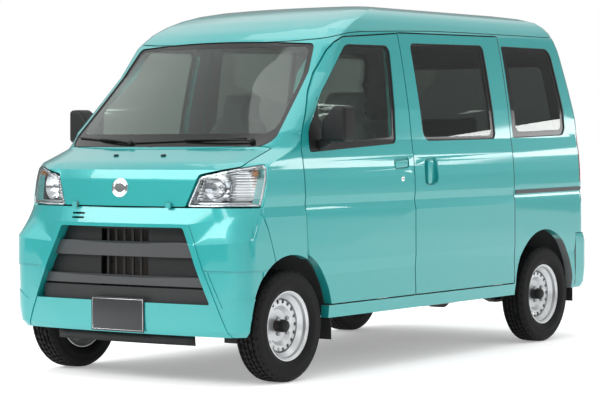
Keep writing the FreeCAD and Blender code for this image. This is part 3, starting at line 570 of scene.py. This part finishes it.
backing = saw(layer(50, 58), "INTERSECT", through(GRILLE_ZONE, 11))
for i in range(GAPS):
    x = (i - (GAPS - 1) / 2) * GAP_PITCH
    backing = saw(backing, "DIFFERENCE", through(oblong(x - GAP_HALF, x + GAP_HALF, 425, 735)))
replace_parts(smoothed_piece(backing, "grille_back", [black_trim], "root"), "grille")
for i, (low, high) in enumerate(BARS):
    profile = [(-1800, low), (-1500, low), (-1500, high), (-1646, high), (-1668, high - BAR_EDGE),
               (-1800, high - BAR_EDGE)]
    bar = saw(layer(30, 49.5), "INTERSECT", prism("side", profile, -FAR_X, FAR_X))
    bar = saw(bar, "INTERSECT", through(GRILLE_ZONE, 11))
    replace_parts(smoothed_piece(bar, f"grille_bar_{i}", [bar_trim], "root"), "grille")
bm = bmesh.new()
path = curve_through((-430, -1640, 236), (0, -1662, 236), (430, -1640, 236), 16)
chain = [bm.verts.new(p * MM) for p in path]
edges = [bm.edges.new(pair) for pair in zip(chain, chain[1:])]
out = bmesh.ops.extrude_edge_only(bm, edges=edges)
bmesh.ops.translate(bm, vec=(0, 0.004, -0.046), verts=made_by(out, VERT))
dam = finish_mesh(bm, "air_dam", black_trim, "root")
sheet = dam.modifiers.new("sheet", "SOLIDIFY")
sheet.thickness = 5 * MM
print("grille and air dam made")

# %% [markdown]
# A door handle stands in a pressed recess. The recess is sawn flat into the door's own skin, and the handle
# is an upright or level grip with softened outer edges that stands out of it.

# %% Handles
# recess outline, its corner radius, its floor's x; grip outline, corner radius, and its inner and outer x
HANDLES = {
    "door_front": (((-378, 1004), (-240, 1010), (-240, 1066), (-378, 1060)), 14, 716,
                   ((-368, 1010), (-252, 1015), (-252, 1052), (-368, 1047)), 7, (706, 729)),
    "door_slide": (((-96, 914), (34, 920), (34, 1064), (-96, 1058)), 34, 713,
                   ((-62, 924), (-26, 925), (-12, 1048), (-64, 1046)), 12, (703, 731)),
}
for tag, sign in (("left", 1), ("right", -1)):
    for kind, (recess, soft, floor_x, grip, grip_soft, (inner, outer)) in HANDLES.items():
        name = f"{kind}_{tag}"
        piece = panels[name]
        piece.modifiers.clear()
        before = len(piece.data.polygons)
        saw(piece, "DIFFERENCE", prism("side", recess, sign * floor_x, sign * FAR_X, soft))
        smooth(piece.data)
        even_out(piece)
        bm = bm_of(prism("side", grip, sign * inner, sign * outer, grip_soft))
        middle = (inner + outer) / 2 * MM
        bevel(bm, [e for e in bm.edges if all(abs(v.co.x) > middle for v in e.verts)], 4 * MM)
        finish_mesh(bm, f"handle_{kind}_{tag}", paint, BODY_OF[name])
        print(name, before, "to", len(piece.data.polygons), "faces")

# %% [markdown]
# The wiper blades lie on the glass, so their path is felt on the windscreen and lifted by a few
# millimetres. The mirror is a soft-cornered shell on a short arm, with a sail in the corner of the window.

# %% Wipers and mirrors
SCREEN_SKIN = skin_of("windscreen")
# start, end and spindle of each blade as x, z
WIPERS = (((-600, 1172), (-190, 1150), (-150, 1142)), ((-130, 1146), (500, 1166), (540, 1150)))


def on_screen(start, end, steps, lift, bow=0):
    """A path over the windscreen from one (x, z) to another, lifted in mm and bowed up midway."""
    path = []
    for t in range(steps + 1):
        x, z = (a + (b - a) * t / steps for a, b in zip(start, end))
        at, normal = front_point(x, z, SCREEN_SKIN)
        path.append(at + normal * (lift + bow * math.sin(math.pi * t / steps)) * MM)
    return path


for i, (start, end, spindle) in enumerate(WIPERS):
    rod(f"wiper_blade_{i}", on_screen(start, end, 14, 5), 3.6, seal_rubber, "root")
    middle = ((start[0] + end[0]) / 2, (start[1] + end[1]) / 2)
    rod(f"wiper_arm_{i}", on_screen(middle, spindle, 8, 9, 5), 5.0, black_trim, "root")
    at, _ = front_point(*spindle, SCREEN_SKIN)
    bm = bmesh.new()
    turned(bm, [(0.2, 20), (9, 19), (14, 14), (15, 8), (15, -4)], stand(at, Vector((0, -0.7, 0.7))), 28)
    finish_mesh(bm, f"wiper_spindle_{i}", black_trim, "root")

MIRROR_FACE = [(741, 1147), (888, 1149), (886, 1320), (812, 1322), (745, 1236)]
MIRROR_FRONT_Y, MIRROR_BACK_Y = -1050, -962
SAIL = [(-1100, 1102), (-992, 1112), (-992, 1366), (-1094, 1206)]
for tag, sign in (("left", 1), ("right", -1)):
    mirror = "mirror_" + tag
    body = BODY_OF[mirror]
    bm = bm_of(prism("front", [(sign * x, z) for x, z in MIRROR_FACE], MIRROR_FRONT_Y, MIRROR_BACK_Y, 20))
    front_edges = [e for e in bm.edges if all(v.co.y < (MIRROR_FRONT_Y + 10) * MM for v in e.verts)]
    bevel(bm, front_edges, 18 * MM, 5)
    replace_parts(finish_mesh(bm, "mirror_shell_" + tag, black_trim, body, 40), mirror)
    bm = bmesh.new()
    arm_at = stand(Vector((sign * 0.733, -1.018, 1.140)), Vector((sign * 1.0, 0.0, 0.35)))
    block(bm, (34, 46, 84), arm_at, 12)
    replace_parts(finish_mesh(bm, "mirror_arm_" + tag, black_trim, body), mirror)
    skin = skin_of("window_front_" + tag, "door_front_" + tag)
    points = [side_point(y, z, sign, skin) for y, z in SAIL]
    bm = bmesh.new()
    face = bm.faces.new([bm.verts.new(at + normal * 2.0 * MM) for at, normal in points])
    out = bmesh.ops.extrude_face_region(bm, geom=[face])
    inward = sum((normal for _, normal in points), Vector()) / len(points)
    bmesh.ops.translate(bm, vec=-inward * 7 * MM, verts=made_by(out, VERT))
    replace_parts(finish_mesh(bm, "mirror_sail_" + tag, black_trim, body), mirror)
print("wipers and mirrors made")

# %% [markdown]
# Car glass has a black enamel border baked on, which hides the glue and the edge of the trim. It could be a
# second sheet, but it is in the glass itself, so the pane is cut along straight lines parallel to its edges,
# with a few more cuts that round the corners, and the faces outside the cuts get the enamel.

# %% Panes with their enamel borders
PANE_AXES = {"side": (1, 2), "front": (0, 2)}


def border_lines(corners, widths, radius):
    """Lines (point, inward normal) in 2-D that bound the clear field of a pane."""
    count = len(corners)
    middle = sum((Vector(c) for c in corners), Vector((0, 0))) / count
    lines = []
    for i in range(count):
        a, b = Vector(corners[i]), Vector(corners[(i + 1) % count])
        along = (b - a).normalized()
        inward = Vector((-along.y, along.x))
        if inward.dot(middle - a) < 0:
            inward = -inward
        lines.append((a + inward * widths[i], inward))
    out = list(lines)
    for i in range(count):
        (p, n), (q, m) = lines[i - 1], lines[i]
        cross = n.x * m.y - n.y * m.x
        if abs(cross) < 0.05:
            continue
        corner = Vector((p.dot(n) * m.y - q.dot(m) * n.y, q.dot(m) * n.x - p.dot(n) * m.x)) / cross
        centre = corner + (n + m) * radius / (1 + n.dot(m))
        for share in (0.25, 0.5, 0.75):
            between = (n * (1 - share) + m * share).normalized()
            out.append((centre - between * radius, between))
    return out


def cut_border(bm, faces, kind, corners, widths, radius=30):
    """Cuts the clear field out of some faces of a pane and gives what is outside it material 1."""
    u, v = PANE_AXES[kind]
    lines = border_lines([(a * MM, b * MM) for a, b in corners], [w * MM for w in widths], radius * MM)
    for point, inward in lines:
        co, no = Vector((0, 0, 0)), Vector((0, 0, 0))
        co[u], co[v] = point
        no[u], no[v] = inward
        geom = set(faces)
        for face in faces:
            geom.update(face.edges)
            geom.update(face.verts)
        out = bmesh.ops.bisect_plane(bm, geom=list(geom), dist=1e-6, plane_co=co, plane_no=no)
        faces = made_by(out, FACE)
    for face in faces:
        at = face.calc_center_median()
        flat = Vector((at[u], at[v]))
        if any((flat - point).dot(inward) < -1e-5 for point, inward in lines):
            face.material_index = 1


def pane(name, glass_finish, fields):
    """Replaces a glass node by a copy with enamel borders. fields: choose(centre), then the border."""
    bm = bmesh.new()
    bm.from_mesh(smoothed(name))
    for choose, kind, corners, widths, radius in fields:
        faces = [f for f in bm.faces if choose(f.calc_center_median())]
        cut_border(bm, faces, kind, corners, widths, radius)
    mesh = mesh_of(bm, name + "_pane", (glass_finish, enamel), FOLD)
    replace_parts(own(name + "_pane", mesh, BODY_OF[name]), name)


def everything(at):
    return True


def beside(side, way):
    """Chooses the side glass of one side, ahead of its middle post (way -1) or behind it (way 1)."""
    return lambda at: at.x * side > 0 and (at.y - POST_Y) * way > 0


FRONT_PANE = [(-340, 1136), (-290, 1640), (-690, 1636), (-970, 1377), (-1098, 1200), (-1104, 1098)]
SLIDE_PANE = [(655, 1154), (642, 1668), (-95, 1658), (-80, 1147)]
QUARTER_PANE = [(1436, 1172), (1440, 1320), (1378, 1669), (838, 1669), (838, 1158)]
SCREEN = [(-648, 1128), (648, 1128), (608, 1440), (560, 1645), (-560, 1645), (-608, 1440)]
GATE_PANE = [(-545, 1110), (545, 1110), (500, 1600), (-500, 1600)]

POST_Y = 0.74
# outline, border widths, corner radius, way from the post
SIDE_PANES = ((SLIDE_PANE, (34, 18, 16, 20), 34, -1), (QUARTER_PANE, (34, 36, 30, 52, 34), 40, 1))
pane("windscreen", green_glass, [(everything, "front", SCREEN, (62, 26, 26, 22, 26, 26), 50)])
for side in ("left", "right"):
    pane("window_front_" + side, green_glass,
         [(everything, "side", FRONT_PANE, (26, 12, 10, 10, 10, 34), 30)])
pane("side_glass", dark_glass, [(beside(side, way), "side", corners, widths, radius)
                                for corners, widths, radius, way in SIDE_PANES for side in (1, -1)])
pane("tailgate_glass", dark_glass, [(everything, "front", GATE_PANE, (30, 26, 26, 26), 40)])
print("panes bordered")


# %% [markdown]
# A rubber bead runs round each pane and fills the step between the glass and the sheet metal. The pane's own
# outer edge is its path, found as the edge where faces that look outwards meet the thin rim of the glass.

# %% Rubber beads
def rim_loops(mesh, outward):
    """Closed loops of points along the outer edge of a pane."""
    bm = bmesh.new()
    bm.from_mesh(mesh)
    bm.normal_update()
    front = {f for f in bm.faces if f.normal.dot(outward(f.calc_center_median())) > 0.5}
    rim = {e for e in bm.edges if len([f for f in e.link_faces if f in front]) == 1}
    loops = []
    while rim:
        edge = rim.pop()
        path = [edge.verts[0], edge.verts[1]]
        while True:
            following = next((e for e in path[-1].link_edges if e in rim), None)
            if following is None:
                break
            rim.discard(following)
            path.append(following.other_vert(path[-1]))
        if len(path) > 8:
            points = [path[0].co.copy()]
            for v in path[1:]:
                if (v.co - points[-1]).length > 4 * MM:
                    points.append(v.co.copy())
            loops.append(points)
    bm.free()
    return loops


OUTWARD = {"windscreen": lambda at: Vector((0, -0.75, 0.6)).normalized(),
           "tailgate_glass": lambda at: Vector((0, 1, 0))}
beads = 0
for name in ("windscreen", "tailgate_glass", "window_front_left", "window_front_right", "side_glass"):
    outward = OUTWARD.get(name, lambda at: Vector((1 if at.x > 0 else -1, 0, 0)))
    for loop in rim_loops(smoothed(name), outward):
        rod(f"glass_bead_{name}_{beads}", loop, 4.5, seal_rubber, BODY_OF[name], closed=True)
        beads += 1
print(beads, "beads")

# %% [markdown]
# The headlamp is a clear shell over a deep silvered housing. The frame holds the shell and a thin bowl, so a
# tray is drawn back from the bowl's own outline, ribbed across as the real one is, and a round reflector
# with its bulb and an amber turn lamp stand in it.

# %% Headlamps
LAMP_DEPTH = 58
RIB_PITCH = 6.8
LAMP_AT, TURN_LAMP_AT = (520, -1560, 935), (672, -1478, 1000)
REFLECTOR = [(0.5, -34), (14, -33), (30, -26), (46, -13), (58, 3), (64, 14), (67, 14), (67, 8)]
BULB = [(0.2, 12), (6, 10), (9, 4), (9, -18), (12, -20), (12, -32)]
TURN_BULB = [(0.2, 16), (9, 13), (13, 5), (13, -14), (17, -16)]

lamp_ribs, tree, shader = surface("vacuum_silvered_reflector", Metallic=1.0, Roughness=0.16)
tint(tree, shader, "#dfe3e6", "#f2f4f5", 30.0)
wave = node(tree, "ShaderNodeTexWave", {"Vector": node(tree, "ShaderNodeTexCoord").outputs["Object"],
                                        "Scale": 1 / (2 * math.pi * RIB_PITCH * MM)},
            wave_type="BANDS", bands_direction="Z", wave_profile="SIN")
ribs = node(tree, "ShaderNodeBump", {"Height": wave.outputs["Fac"], "Strength": 0.6, "Distance": 2.5 * MM})
tree.links.new(ribs.outputs["Normal"], shader.inputs["Normal"])
amber = coloured("amber_acrylic", "#e07a12", "#ee8a1e", 20.0, Roughness=0.1, Transmission_Weight=0.4)
bulb_glass = clear("clear_bulb_glass", "#f4f7fa", 1.5)


def lamp_housing(side):
    """The silvered tray behind one headlamp lens."""
    bm = bmesh.new()
    bm.from_mesh(smoothed("headlamp_bowls"))
    back = Vector((-0.32 * side, 0.947, 0))
    drop = [f for f in bm.faces if f.calc_center_median().x * side < 0 or f.normal.dot(back) > -0.25]
    bmesh.ops.delete(bm, geom=drop, context="FACES")
    inner = bmesh.ops.inset_region(bm, faces=bm.faces, thickness=7 * MM, use_boundary=True,
                                   use_even_offset=True)
    rim = set(inner["faces"])
    floor_faces = [f for f in bm.faces if f not in rim]
    out = bmesh.ops.extrude_face_region(bm, geom=floor_faces)
    bmesh.ops.translate(bm, vec=back * LAMP_DEPTH * MM, verts=made_by(out, VERT))
    bmesh.ops.delete(bm, geom=floor_faces, context="FACES_ONLY")
    mesh = mesh_of(bm, "lamp_housing", (lamp_ribs, black_trim), 30)
    piece = own("lamp_housing_" + ("left" if side > 0 else "right"), mesh, "root")
    wall = piece.modifiers.new("wall", "SOLIDIFY")
    wall.thickness = 1.5 * MM
    wall.offset = -1
    return piece


for side in (1, -1):
    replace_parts(lamp_housing(side), "headlamp_bowls")
    tag = "left" if side > 0 else "right"
    main = stand(Vector((LAMP_AT[0] * side, *LAMP_AT[1:])) * MM, Vector((0.30 * side, -0.95, 0.02)))
    turn_at = stand(Vector((TURN_LAMP_AT[0] * side, *TURN_LAMP_AT[1:])) * MM, Vector((0.5 * side, -0.86, 0)))
    for name, section, at, steps, finish, slot in (
            ("lamp_reflector_", REFLECTOR, main, 48, bright, "lamp_reflector"),
            ("lamp_bulb_", BULB, main, 24, bulb_glass, "lamp_lens"),
            ("turn_bulb_", TURN_BULB, turn_at, 24, amber, "lamp_lens")):
        bm = bmesh.new()
        turned(bm, section, at, steps)
        finish_mesh(bm, name + tag, finish, "root")
print("headlamps furnished")

# %% [markdown]
# A tyre is turned from its section like a pot on a wheel: sidewall with two fine ribs, shoulder, and four
# deep grooves round the tread. Pockets pressed into the ribs then give the sipes. It replaces the frame's
# plain tyre at the same size.

# %% Tyres and wheels
# half of the section from the bead to the middle of the tread: distance from the middle plane, radius
TYRE_SECTION = [(56, 168.3), (64, 177), (70.5, 194), (71.6, 203), (72.4, 204), (72.4, 207), (72, 208),
                (72.5, 228), (71.5, 236), (71.8, 238), (69, 247), (63.5, 256), (57, 264), (50, 268),
                (41, 269), (41, 262), (34, 262), (34, 269.4), (15, 269.9), (15, 262.5), (8, 262.5), (8, 270)]
WHEEL_X, FRONT_AXLE_Y, REAR_AXLE_Y, AXLE_Z = 0.652, -1.272, 1.178, 0.270
WHEELS = {f"{end}_{tag}": (side * WHEEL_X, y) for end, y in (("front", FRONT_AXLE_Y), ("rear", REAR_AXLE_Y))
          for tag, side in (("left", 1), ("right", -1))}
NUTS, NUT_CIRCLE, NUT_X, NUT_R, NUT_LENGTH = 4, 0.050, 0.674, 11, 15
HUB_CAP = [(0.2, 705), (10, 704.5), (20, 702), (26, 697), (29, 690), (31, 682), (31, 666)]
TREAD_STEPS = 108


def tyre(name, x, y):
    bm = bmesh.new()
    section = TYRE_SECTION + [(-a, r) for a, r in reversed(TYRE_SECTION)]
    row = [bm.verts.new((a * MM, 0, r * MM)) for a, r in section]
    edges = [bm.edges.new(pair) for pair in zip(row, row[1:] + row[:1])]
    bmesh.ops.spin(bm, geom=row + edges, cent=(0, 0, 0), axis=(1, 0, 0), angle=math.tau, steps=TREAD_STEPS,
                   use_merge=True, use_duplicate=False)
    bmesh.ops.recalc_face_normals(bm, faces=bm.faces)
    pressed = {0: [], 1: []}
    for face in bm.faces:
        at = face.calc_center_median()
        r = math.hypot(at.y, at.z)
        step = int((math.atan2(at.z, at.y) + math.pi) / math.tau * TREAD_STEPS + 0.5)
        if r > 268.2 * MM and (step + (1 if at.x > 0 else 0)) % 2 == 0:
            pressed[0].append(face)
        elif 256 * MM < r < 265 * MM and abs(at.x) > 56 * MM and step % 3 == 0:
            pressed[1].append(face)
    for group, thick, deep in ((pressed[0], 1.6, -4.0), (pressed[1], 1.4, -3.0)):
        bmesh.ops.inset_individual(bm, faces=group, thickness=thick * MM, depth=deep * MM,
                                   use_even_offset=True)
    bmesh.ops.translate(bm, vec=(x, y, AXLE_Z), verts=bm.verts)
    piece = finish_mesh(bm, f"tyre_{name}_tread", tyre_rubber, "wheel_" + name, 28)
    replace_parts(piece, "tyre_" + name)


nut_steel = coloured("zinc_plated_nut_steel", "#8b8d90", "#9fa1a4", 6.0, Metallic=0.95, Roughness=0.32)
for name, (x, y) in WHEELS.items():
    tyre(name, x, y)
    axle = stand(Vector((0, y, AXLE_Z)), Vector((1 if x > 0 else -1, 0, 0)))
    bm = bmesh.new()
    for i in range(NUTS):
        around = Matrix.Rotation(math.radians(45 + 90 * i), 4, "Z")
        spot = axle @ around @ Matrix.Translation((NUT_CIRCLE, 0, 0))
        made = bmesh.ops.create_cone(bm, cap_ends=True, segments=6, radius1=NUT_R * MM, radius2=NUT_R * MM,
                                     depth=NUT_LENGTH * MM)["verts"]
        bevel(bm, list({e for v in made for e in v.link_edges}), 1.5 * MM, 2)
        made = [v for v in bm.verts if abs(v.co.z) < 9 * MM and v.co.xy.length < 13 * MM]
        bmesh.ops.transform(bm, matrix=spot @ Matrix.Translation((0, 0, NUT_X)), verts=made)
    finish_mesh(bm, f"wheel_nuts_{name}", nut_steel, "wheel_" + name)
    bm = bmesh.new()
    turned(bm, HUB_CAP, axle, 40)
    finish_mesh(bm, f"hub_cap_{name}", black_trim, "wheel_" + name)
print(len(WHEELS), "wheels dressed")

# %% [markdown]
# Seats are foam in sewn cloth. A block of foam looks like a block, so each cushion is a rounded form, blown
# up a little by the cloth solver until its faces crown between the seams, and then smoothed once.

# %% Seats
seat_cloth, tree, shader = surface("woven_grey_seat_cloth", Roughness=0.92, Sheen_Weight=0.35)
place = node(tree, "ShaderNodeTexCoord").outputs["Object"]
weave = node(tree, "ShaderNodeTexVoronoi", {"Vector": place, "Scale": 1 / (3.0 * MM)}, feature="F1")
weft = weave.outputs["Distance"]
tree.links.new(mixed(tree, weft, linear("#4c4f51"), linear("#63676a")), shader.inputs["Base Color"])
thread = node(tree, "ShaderNodeBump", {"Height": weft, "Strength": 0.6, "Distance": 0.6 * MM})
tree.links.new(thread.outputs["Normal"], shader.inputs["Normal"])

FOAM_ROUND = 26
VOXEL = 12
SWELL_CAP = 24
SIM_FRAMES = 18


def foam(name, sections, centre_x):
    """A foam block through sections of (z, half width, front y, rear y) in mm, remeshed for the cloth."""
    bm = bmesh.new()
    bmesh.ops.create_grid(bm, x_segments=1, y_segments=1, size=0.5)
    corners = list(bm.verts)
    marks = {v: (1 if v.co.x > 0 else -1, 1 if v.co.y > 0 else -1) for v in corners}

    def ring_at(verts, signs, row):
        z, half, front, rear = row
        for v in verts:
            sx, sy = signs[v]
            v.co = Vector((centre_x + sx * half, rear if sy > 0 else front, z)) * MM

    ring_at(corners, marks, sections[0])
    faces = list(bm.faces)
    for row in sections[1:]:
        signs_at = {tuple(round(c, 6) for c in v.co): marks[v] for v in marks if v.is_valid}
        out = bmesh.ops.extrude_face_region(bm, geom=faces)
        new = made_by(out, VERT)
        marks = {v: signs_at[tuple(round(c, 6) for c in v.co)] for v in new}
        faces = made_by(out, FACE)
        ring_at(new, marks, row)
    bmesh.ops.recalc_face_normals(bm, faces=bm.faces)
    bevel(bm, [e for e in bm.edges if e.calc_face_angle(0) > 0.5], FOAM_ROUND * MM, 3, True)
    piece = bpy.data.objects.new(name, mesh_of(bm, name))
    bpy.context.scene.collection.objects.link(piece)
    remesh = piece.modifiers.new("remesh", "REMESH")
    remesh.mode = "VOXEL"
    remesh.voxel_size = VOXEL * MM
    bpy.context.view_layer.update()
    even = bpy.data.meshes.new_from_object(piece.evaluated_get(bpy.context.evaluated_depsgraph_get()))
    piece.modifiers.clear()
    piece.data = even
    return piece


CUSHION = [(772, 222, -776, -306), (884, 222, -776, -306)]
BACK = [(890, 220, -392, -300), (1148, 218, -346, -236), (1236, 178, -326, -220), (1296, 126, -316, -212),
        (1428, 108, -286, -204)]
BENCH = [(676, 585, 252, 730), (800, 585, 252, 730)]
BENCH_BACK = [(808, 585, 606, 728), (1290, 575, 640, 728)]
SEAT_X = 345
FOAMS = (("seat_cushion_left", CUSHION, SEAT_X, "seats_front"),
         ("seat_back_left", BACK, SEAT_X, "seats_front"),
         ("seat_cushion_right", CUSHION, -SEAT_X, "seats_front"),
         ("seat_back_right", BACK, -SEAT_X, "seats_front"),
         ("bench_cushion", BENCH, 0, "seat_rear"), ("bench_back", BENCH_BACK, 0, "seat_rear"))
foams = {name: (foam(name, sections, x), stands_for) for name, sections, x, stands_for in FOAMS}
rest = {}
for name, (piece, _) in foams.items():
    rest[name] = [v.co.copy() for v in piece.data.vertices]
    cloth = piece.modifiers.new("Cloth", "CLOTH")
    cloth.settings.use_pressure = True
    cloth.settings.uniform_pressure_force = 4
    cloth.settings.effector_weights.gravity = 0
for step in range(1, SIM_FRAMES + 1):
    bpy.context.scene.frame_set(step)
graph = bpy.context.evaluated_depsgraph_get()
for name, (piece, _) in foams.items():
    blown = bpy.data.meshes.new_from_object(piece.evaluated_get(graph))
    for v, start in zip(blown.vertices, rest[name]):
        move = v.co - start
        if move.length > SWELL_CAP * MM:
            v.co = start + move.normalized() * SWELL_CAP * MM
    piece.modifiers.clear()
    piece.data = blown
bpy.context.scene.frame_set(1)
for name, (piece, node_name) in foams.items():
    piece.data.materials.clear()
    piece.data.materials.append(seat_cloth)
    piece.data.shade_smooth()
    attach(piece, "root")
    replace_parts(piece, node_name)
    rounder = piece.modifiers.new("smooth", "SUBSURF")
    rounder.levels = rounder.render_levels = 1
print(len(foams), "foam pieces", "blown")

# %% [markdown]
# Small trim: what the eye checks first on a van's face. A plain oval dome stands on the hood, and a blank
# plate hangs on the bumper. The door locks, the mirror glass and the washer nozzles are added here.

# %% Trim
DOME = [(0.2, 5.0), (22, 4.4), (34, 3.4), (36, 2.2), (40, 2.0), (41, 5.5), (45, 6.5), (49, 5.0), (50, 0),
        (48, -3)]
LOCK = [(0.2, 2.4), (7, 2.2), (8, 1.4), (9, 2.6), (12, 2.2), (13, 0), (13, -2)]
PLATE_HALF_X, PLATE_HALF_Z, RIM_IN = 166, 82, 8
MIRROR_GLASS_AT = (818, -957.5, 1236)

bm = bmesh.new()
dome_at = stand(*front_point(0, 934)) @ Matrix.Scale(0.92, 4, (0, 1, 0))
turned(bm, DOME, dome_at, 64)
finish_mesh(bm, "badge_dome", bright, BODY_OF["hood"])

plate_black = coloured("stamped_black_plate", "#232527", "#2a2c2e", 30.0, Roughness=0.35)
bm = bmesh.new()
plate_at = stand(Vector((0, -1.6953, 0.326)), Vector((0, -1, 0)))
block(bm, (2 * PLATE_HALF_X, 2 * PLATE_HALF_Z, 3), plate_at, 1.4)
finish_mesh(bm, "blank_plate", plate_black, "root")
rim_x, rim_z = PLATE_HALF_X - RIM_IN, PLATE_HALF_Z - RIM_IN
edge = [Vector((u, v, 0.4)) for u, v in oblong(-rim_x, rim_x, -rim_z, rim_z)]
rod("plate_rim", [plate_at @ (p * MM) for p in edge], 1.6, bright, "root", closed=True)

for side, tag in ((1, "left"), (-1, "right")):
    bm = bmesh.new()
    turned(bm, LOCK, stand(*side_point(-307, 954, side)), 32)
    finish_mesh(bm, "door_lock_" + tag, bright, BODY_OF["door_front_" + tag])
    bm = bmesh.new()
    x, y, z = MIRROR_GLASS_AT
    block(bm, (120, 140, 3), stand(Vector((x * side, y, z)) * MM, Vector((0, 1, 0))), 1.2)
    finish_mesh(bm, "mirror_glass_" + tag, bright, BODY_OF["mirror_" + tag])

bm = bmesh.new()
for x in (150, -150):
    block(bm, (26, 14, 9), stand(*front_point(x, 1085)), 3, lift=3)
finish_mesh(bm, "washer_nozzles", black_trim, BODY_OF["hood"])
print("trim added")

# %% [markdown]
# What the frame already shapes well keeps its own mesh and only gets its material.

# %% Materials on frame nodes
FINISH = {
    "headlamp_lenses": lens_clear, "tail_lamps": lens_red, "slide_rails": bar_trim,
    "dashboard": cabin_trim,
    "steering_wheel": black_trim, "floor_pan": underbody, "chassis_frame": underbody,
    "suspension": underbody, "rear_axle": underbody, "tow_eyes": underbody, "engine": casting,
    "knuckle_left": casting, "knuckle_right": casting, "exhaust": pipe_steel, "radiator": casting,
    "fuel_tank": black_trim, "mud_flaps": seal_rubber,
}
for end in ("front", "rear"):
    for side in ("left", "right"):
        FINISH[f"rim_{end}_{side}"] = wheel_silver
for name, made in FINISH.items():
    nodes[name].data.materials.clear()
    nodes[name].data.materials.append(made)
print(len(FINISH), "nodes finished")

# %% [markdown]
# The studio is a white tent: a floor without an edge, a bright cloth overhead and a grey band at eye level.
# Paint shows a crease only when the two sides of it mirror different things, so the sky runs from grey at
# the horizon to white above. The camera itself sees plain white behind the van.

# %% Studio
bpy.context.scene.view_settings.view_transform = "Standard"
world = bpy.data.worlds.new("studio")
bpy.context.scene.world = world
world.use_nodes = True
tree = world.node_tree
back = tree.nodes["Background"]
SKY = [(0.0, 0.6), (0.485, 0.5), (0.5, 0.22), (0.64, 0.32), (0.69, 0.9), (0.82, 1.0), (1.0, 0.8)]
aim = node(tree, "ShaderNodeTexCoord").outputs["Generated"]
height = node(tree, "ShaderNodeSeparateXYZ", {"Vector": aim}).outputs["Z"]
level = node(tree, "ShaderNodeMapRange", {"Value": height, "From Min": -1.0, "From Max": 1.0})
ramp = node(tree, "ShaderNodeValToRGB", {"Fac": level.outputs["Result"]})
while len(ramp.color_ramp.elements) < len(SKY):
    ramp.color_ramp.elements.new(0.5)
for element, (place, light) in zip(ramp.color_ramp.elements, SKY):
    element.position = place
    element.color = (light, light, light, 1)
seen_by_camera = node(tree, "ShaderNodeLightPath").outputs["Is Camera Ray"]
sky = mixed(tree, seen_by_camera, ramp.outputs["Color"], (1, 1, 1, 1))
tree.links.new(sky, back.inputs["Color"])
back.inputs["Strength"].default_value = 1.0


def lamp(name, at, target, size, power):
    """A rectangular area lamp of (width, height) at a point, aimed at another and hidden from the camera."""
    made = bpy.data.objects.new(name, bpy.data.lights.new(name, "AREA"))
    made.data.shape = "RECTANGLE"
    made.data.size, made.data.size_y = size
    made.data.energy = power
    made.location = at
    made.rotation_euler = (Vector(target) - Vector(at)).to_track_quat("-Z", "Y").to_euler()
    made.visible_camera = False
    bpy.context.scene.collection.objects.link(made)


lamp("overhead", (0.5, 0.5, 6.0), (0, 0, 0.5), (5, 6), 120)
lamp("front_cloth", (-3.0, -8.0, 5.6), (0, -1.2, 0.9), (10, 3.6), 560)
lamp("side_strip", (10.8, 10.2, 2.50), (0.7, 0, 1.05), (20, 0.5), 240)
lamp("fill", (9, -7, 3.5), (0, 0, 0.8), (5, 3), 70)

bm = bmesh.new()
bmesh.ops.create_grid(bm, x_segments=1, y_segments=1, size=60)
floor = bpy.data.objects.new("floor", mesh_of(bm, "floor"))
bpy.context.scene.collection.objects.link(floor)
floor_finish = coloured("pale_studio_floor", "#fafafa", Roughness=0.6, Emission_Strength=0.32,
                        Emission_Color=linear("#ffffff"))
floor.data.materials.append(floor_finish)
print("studio lit")
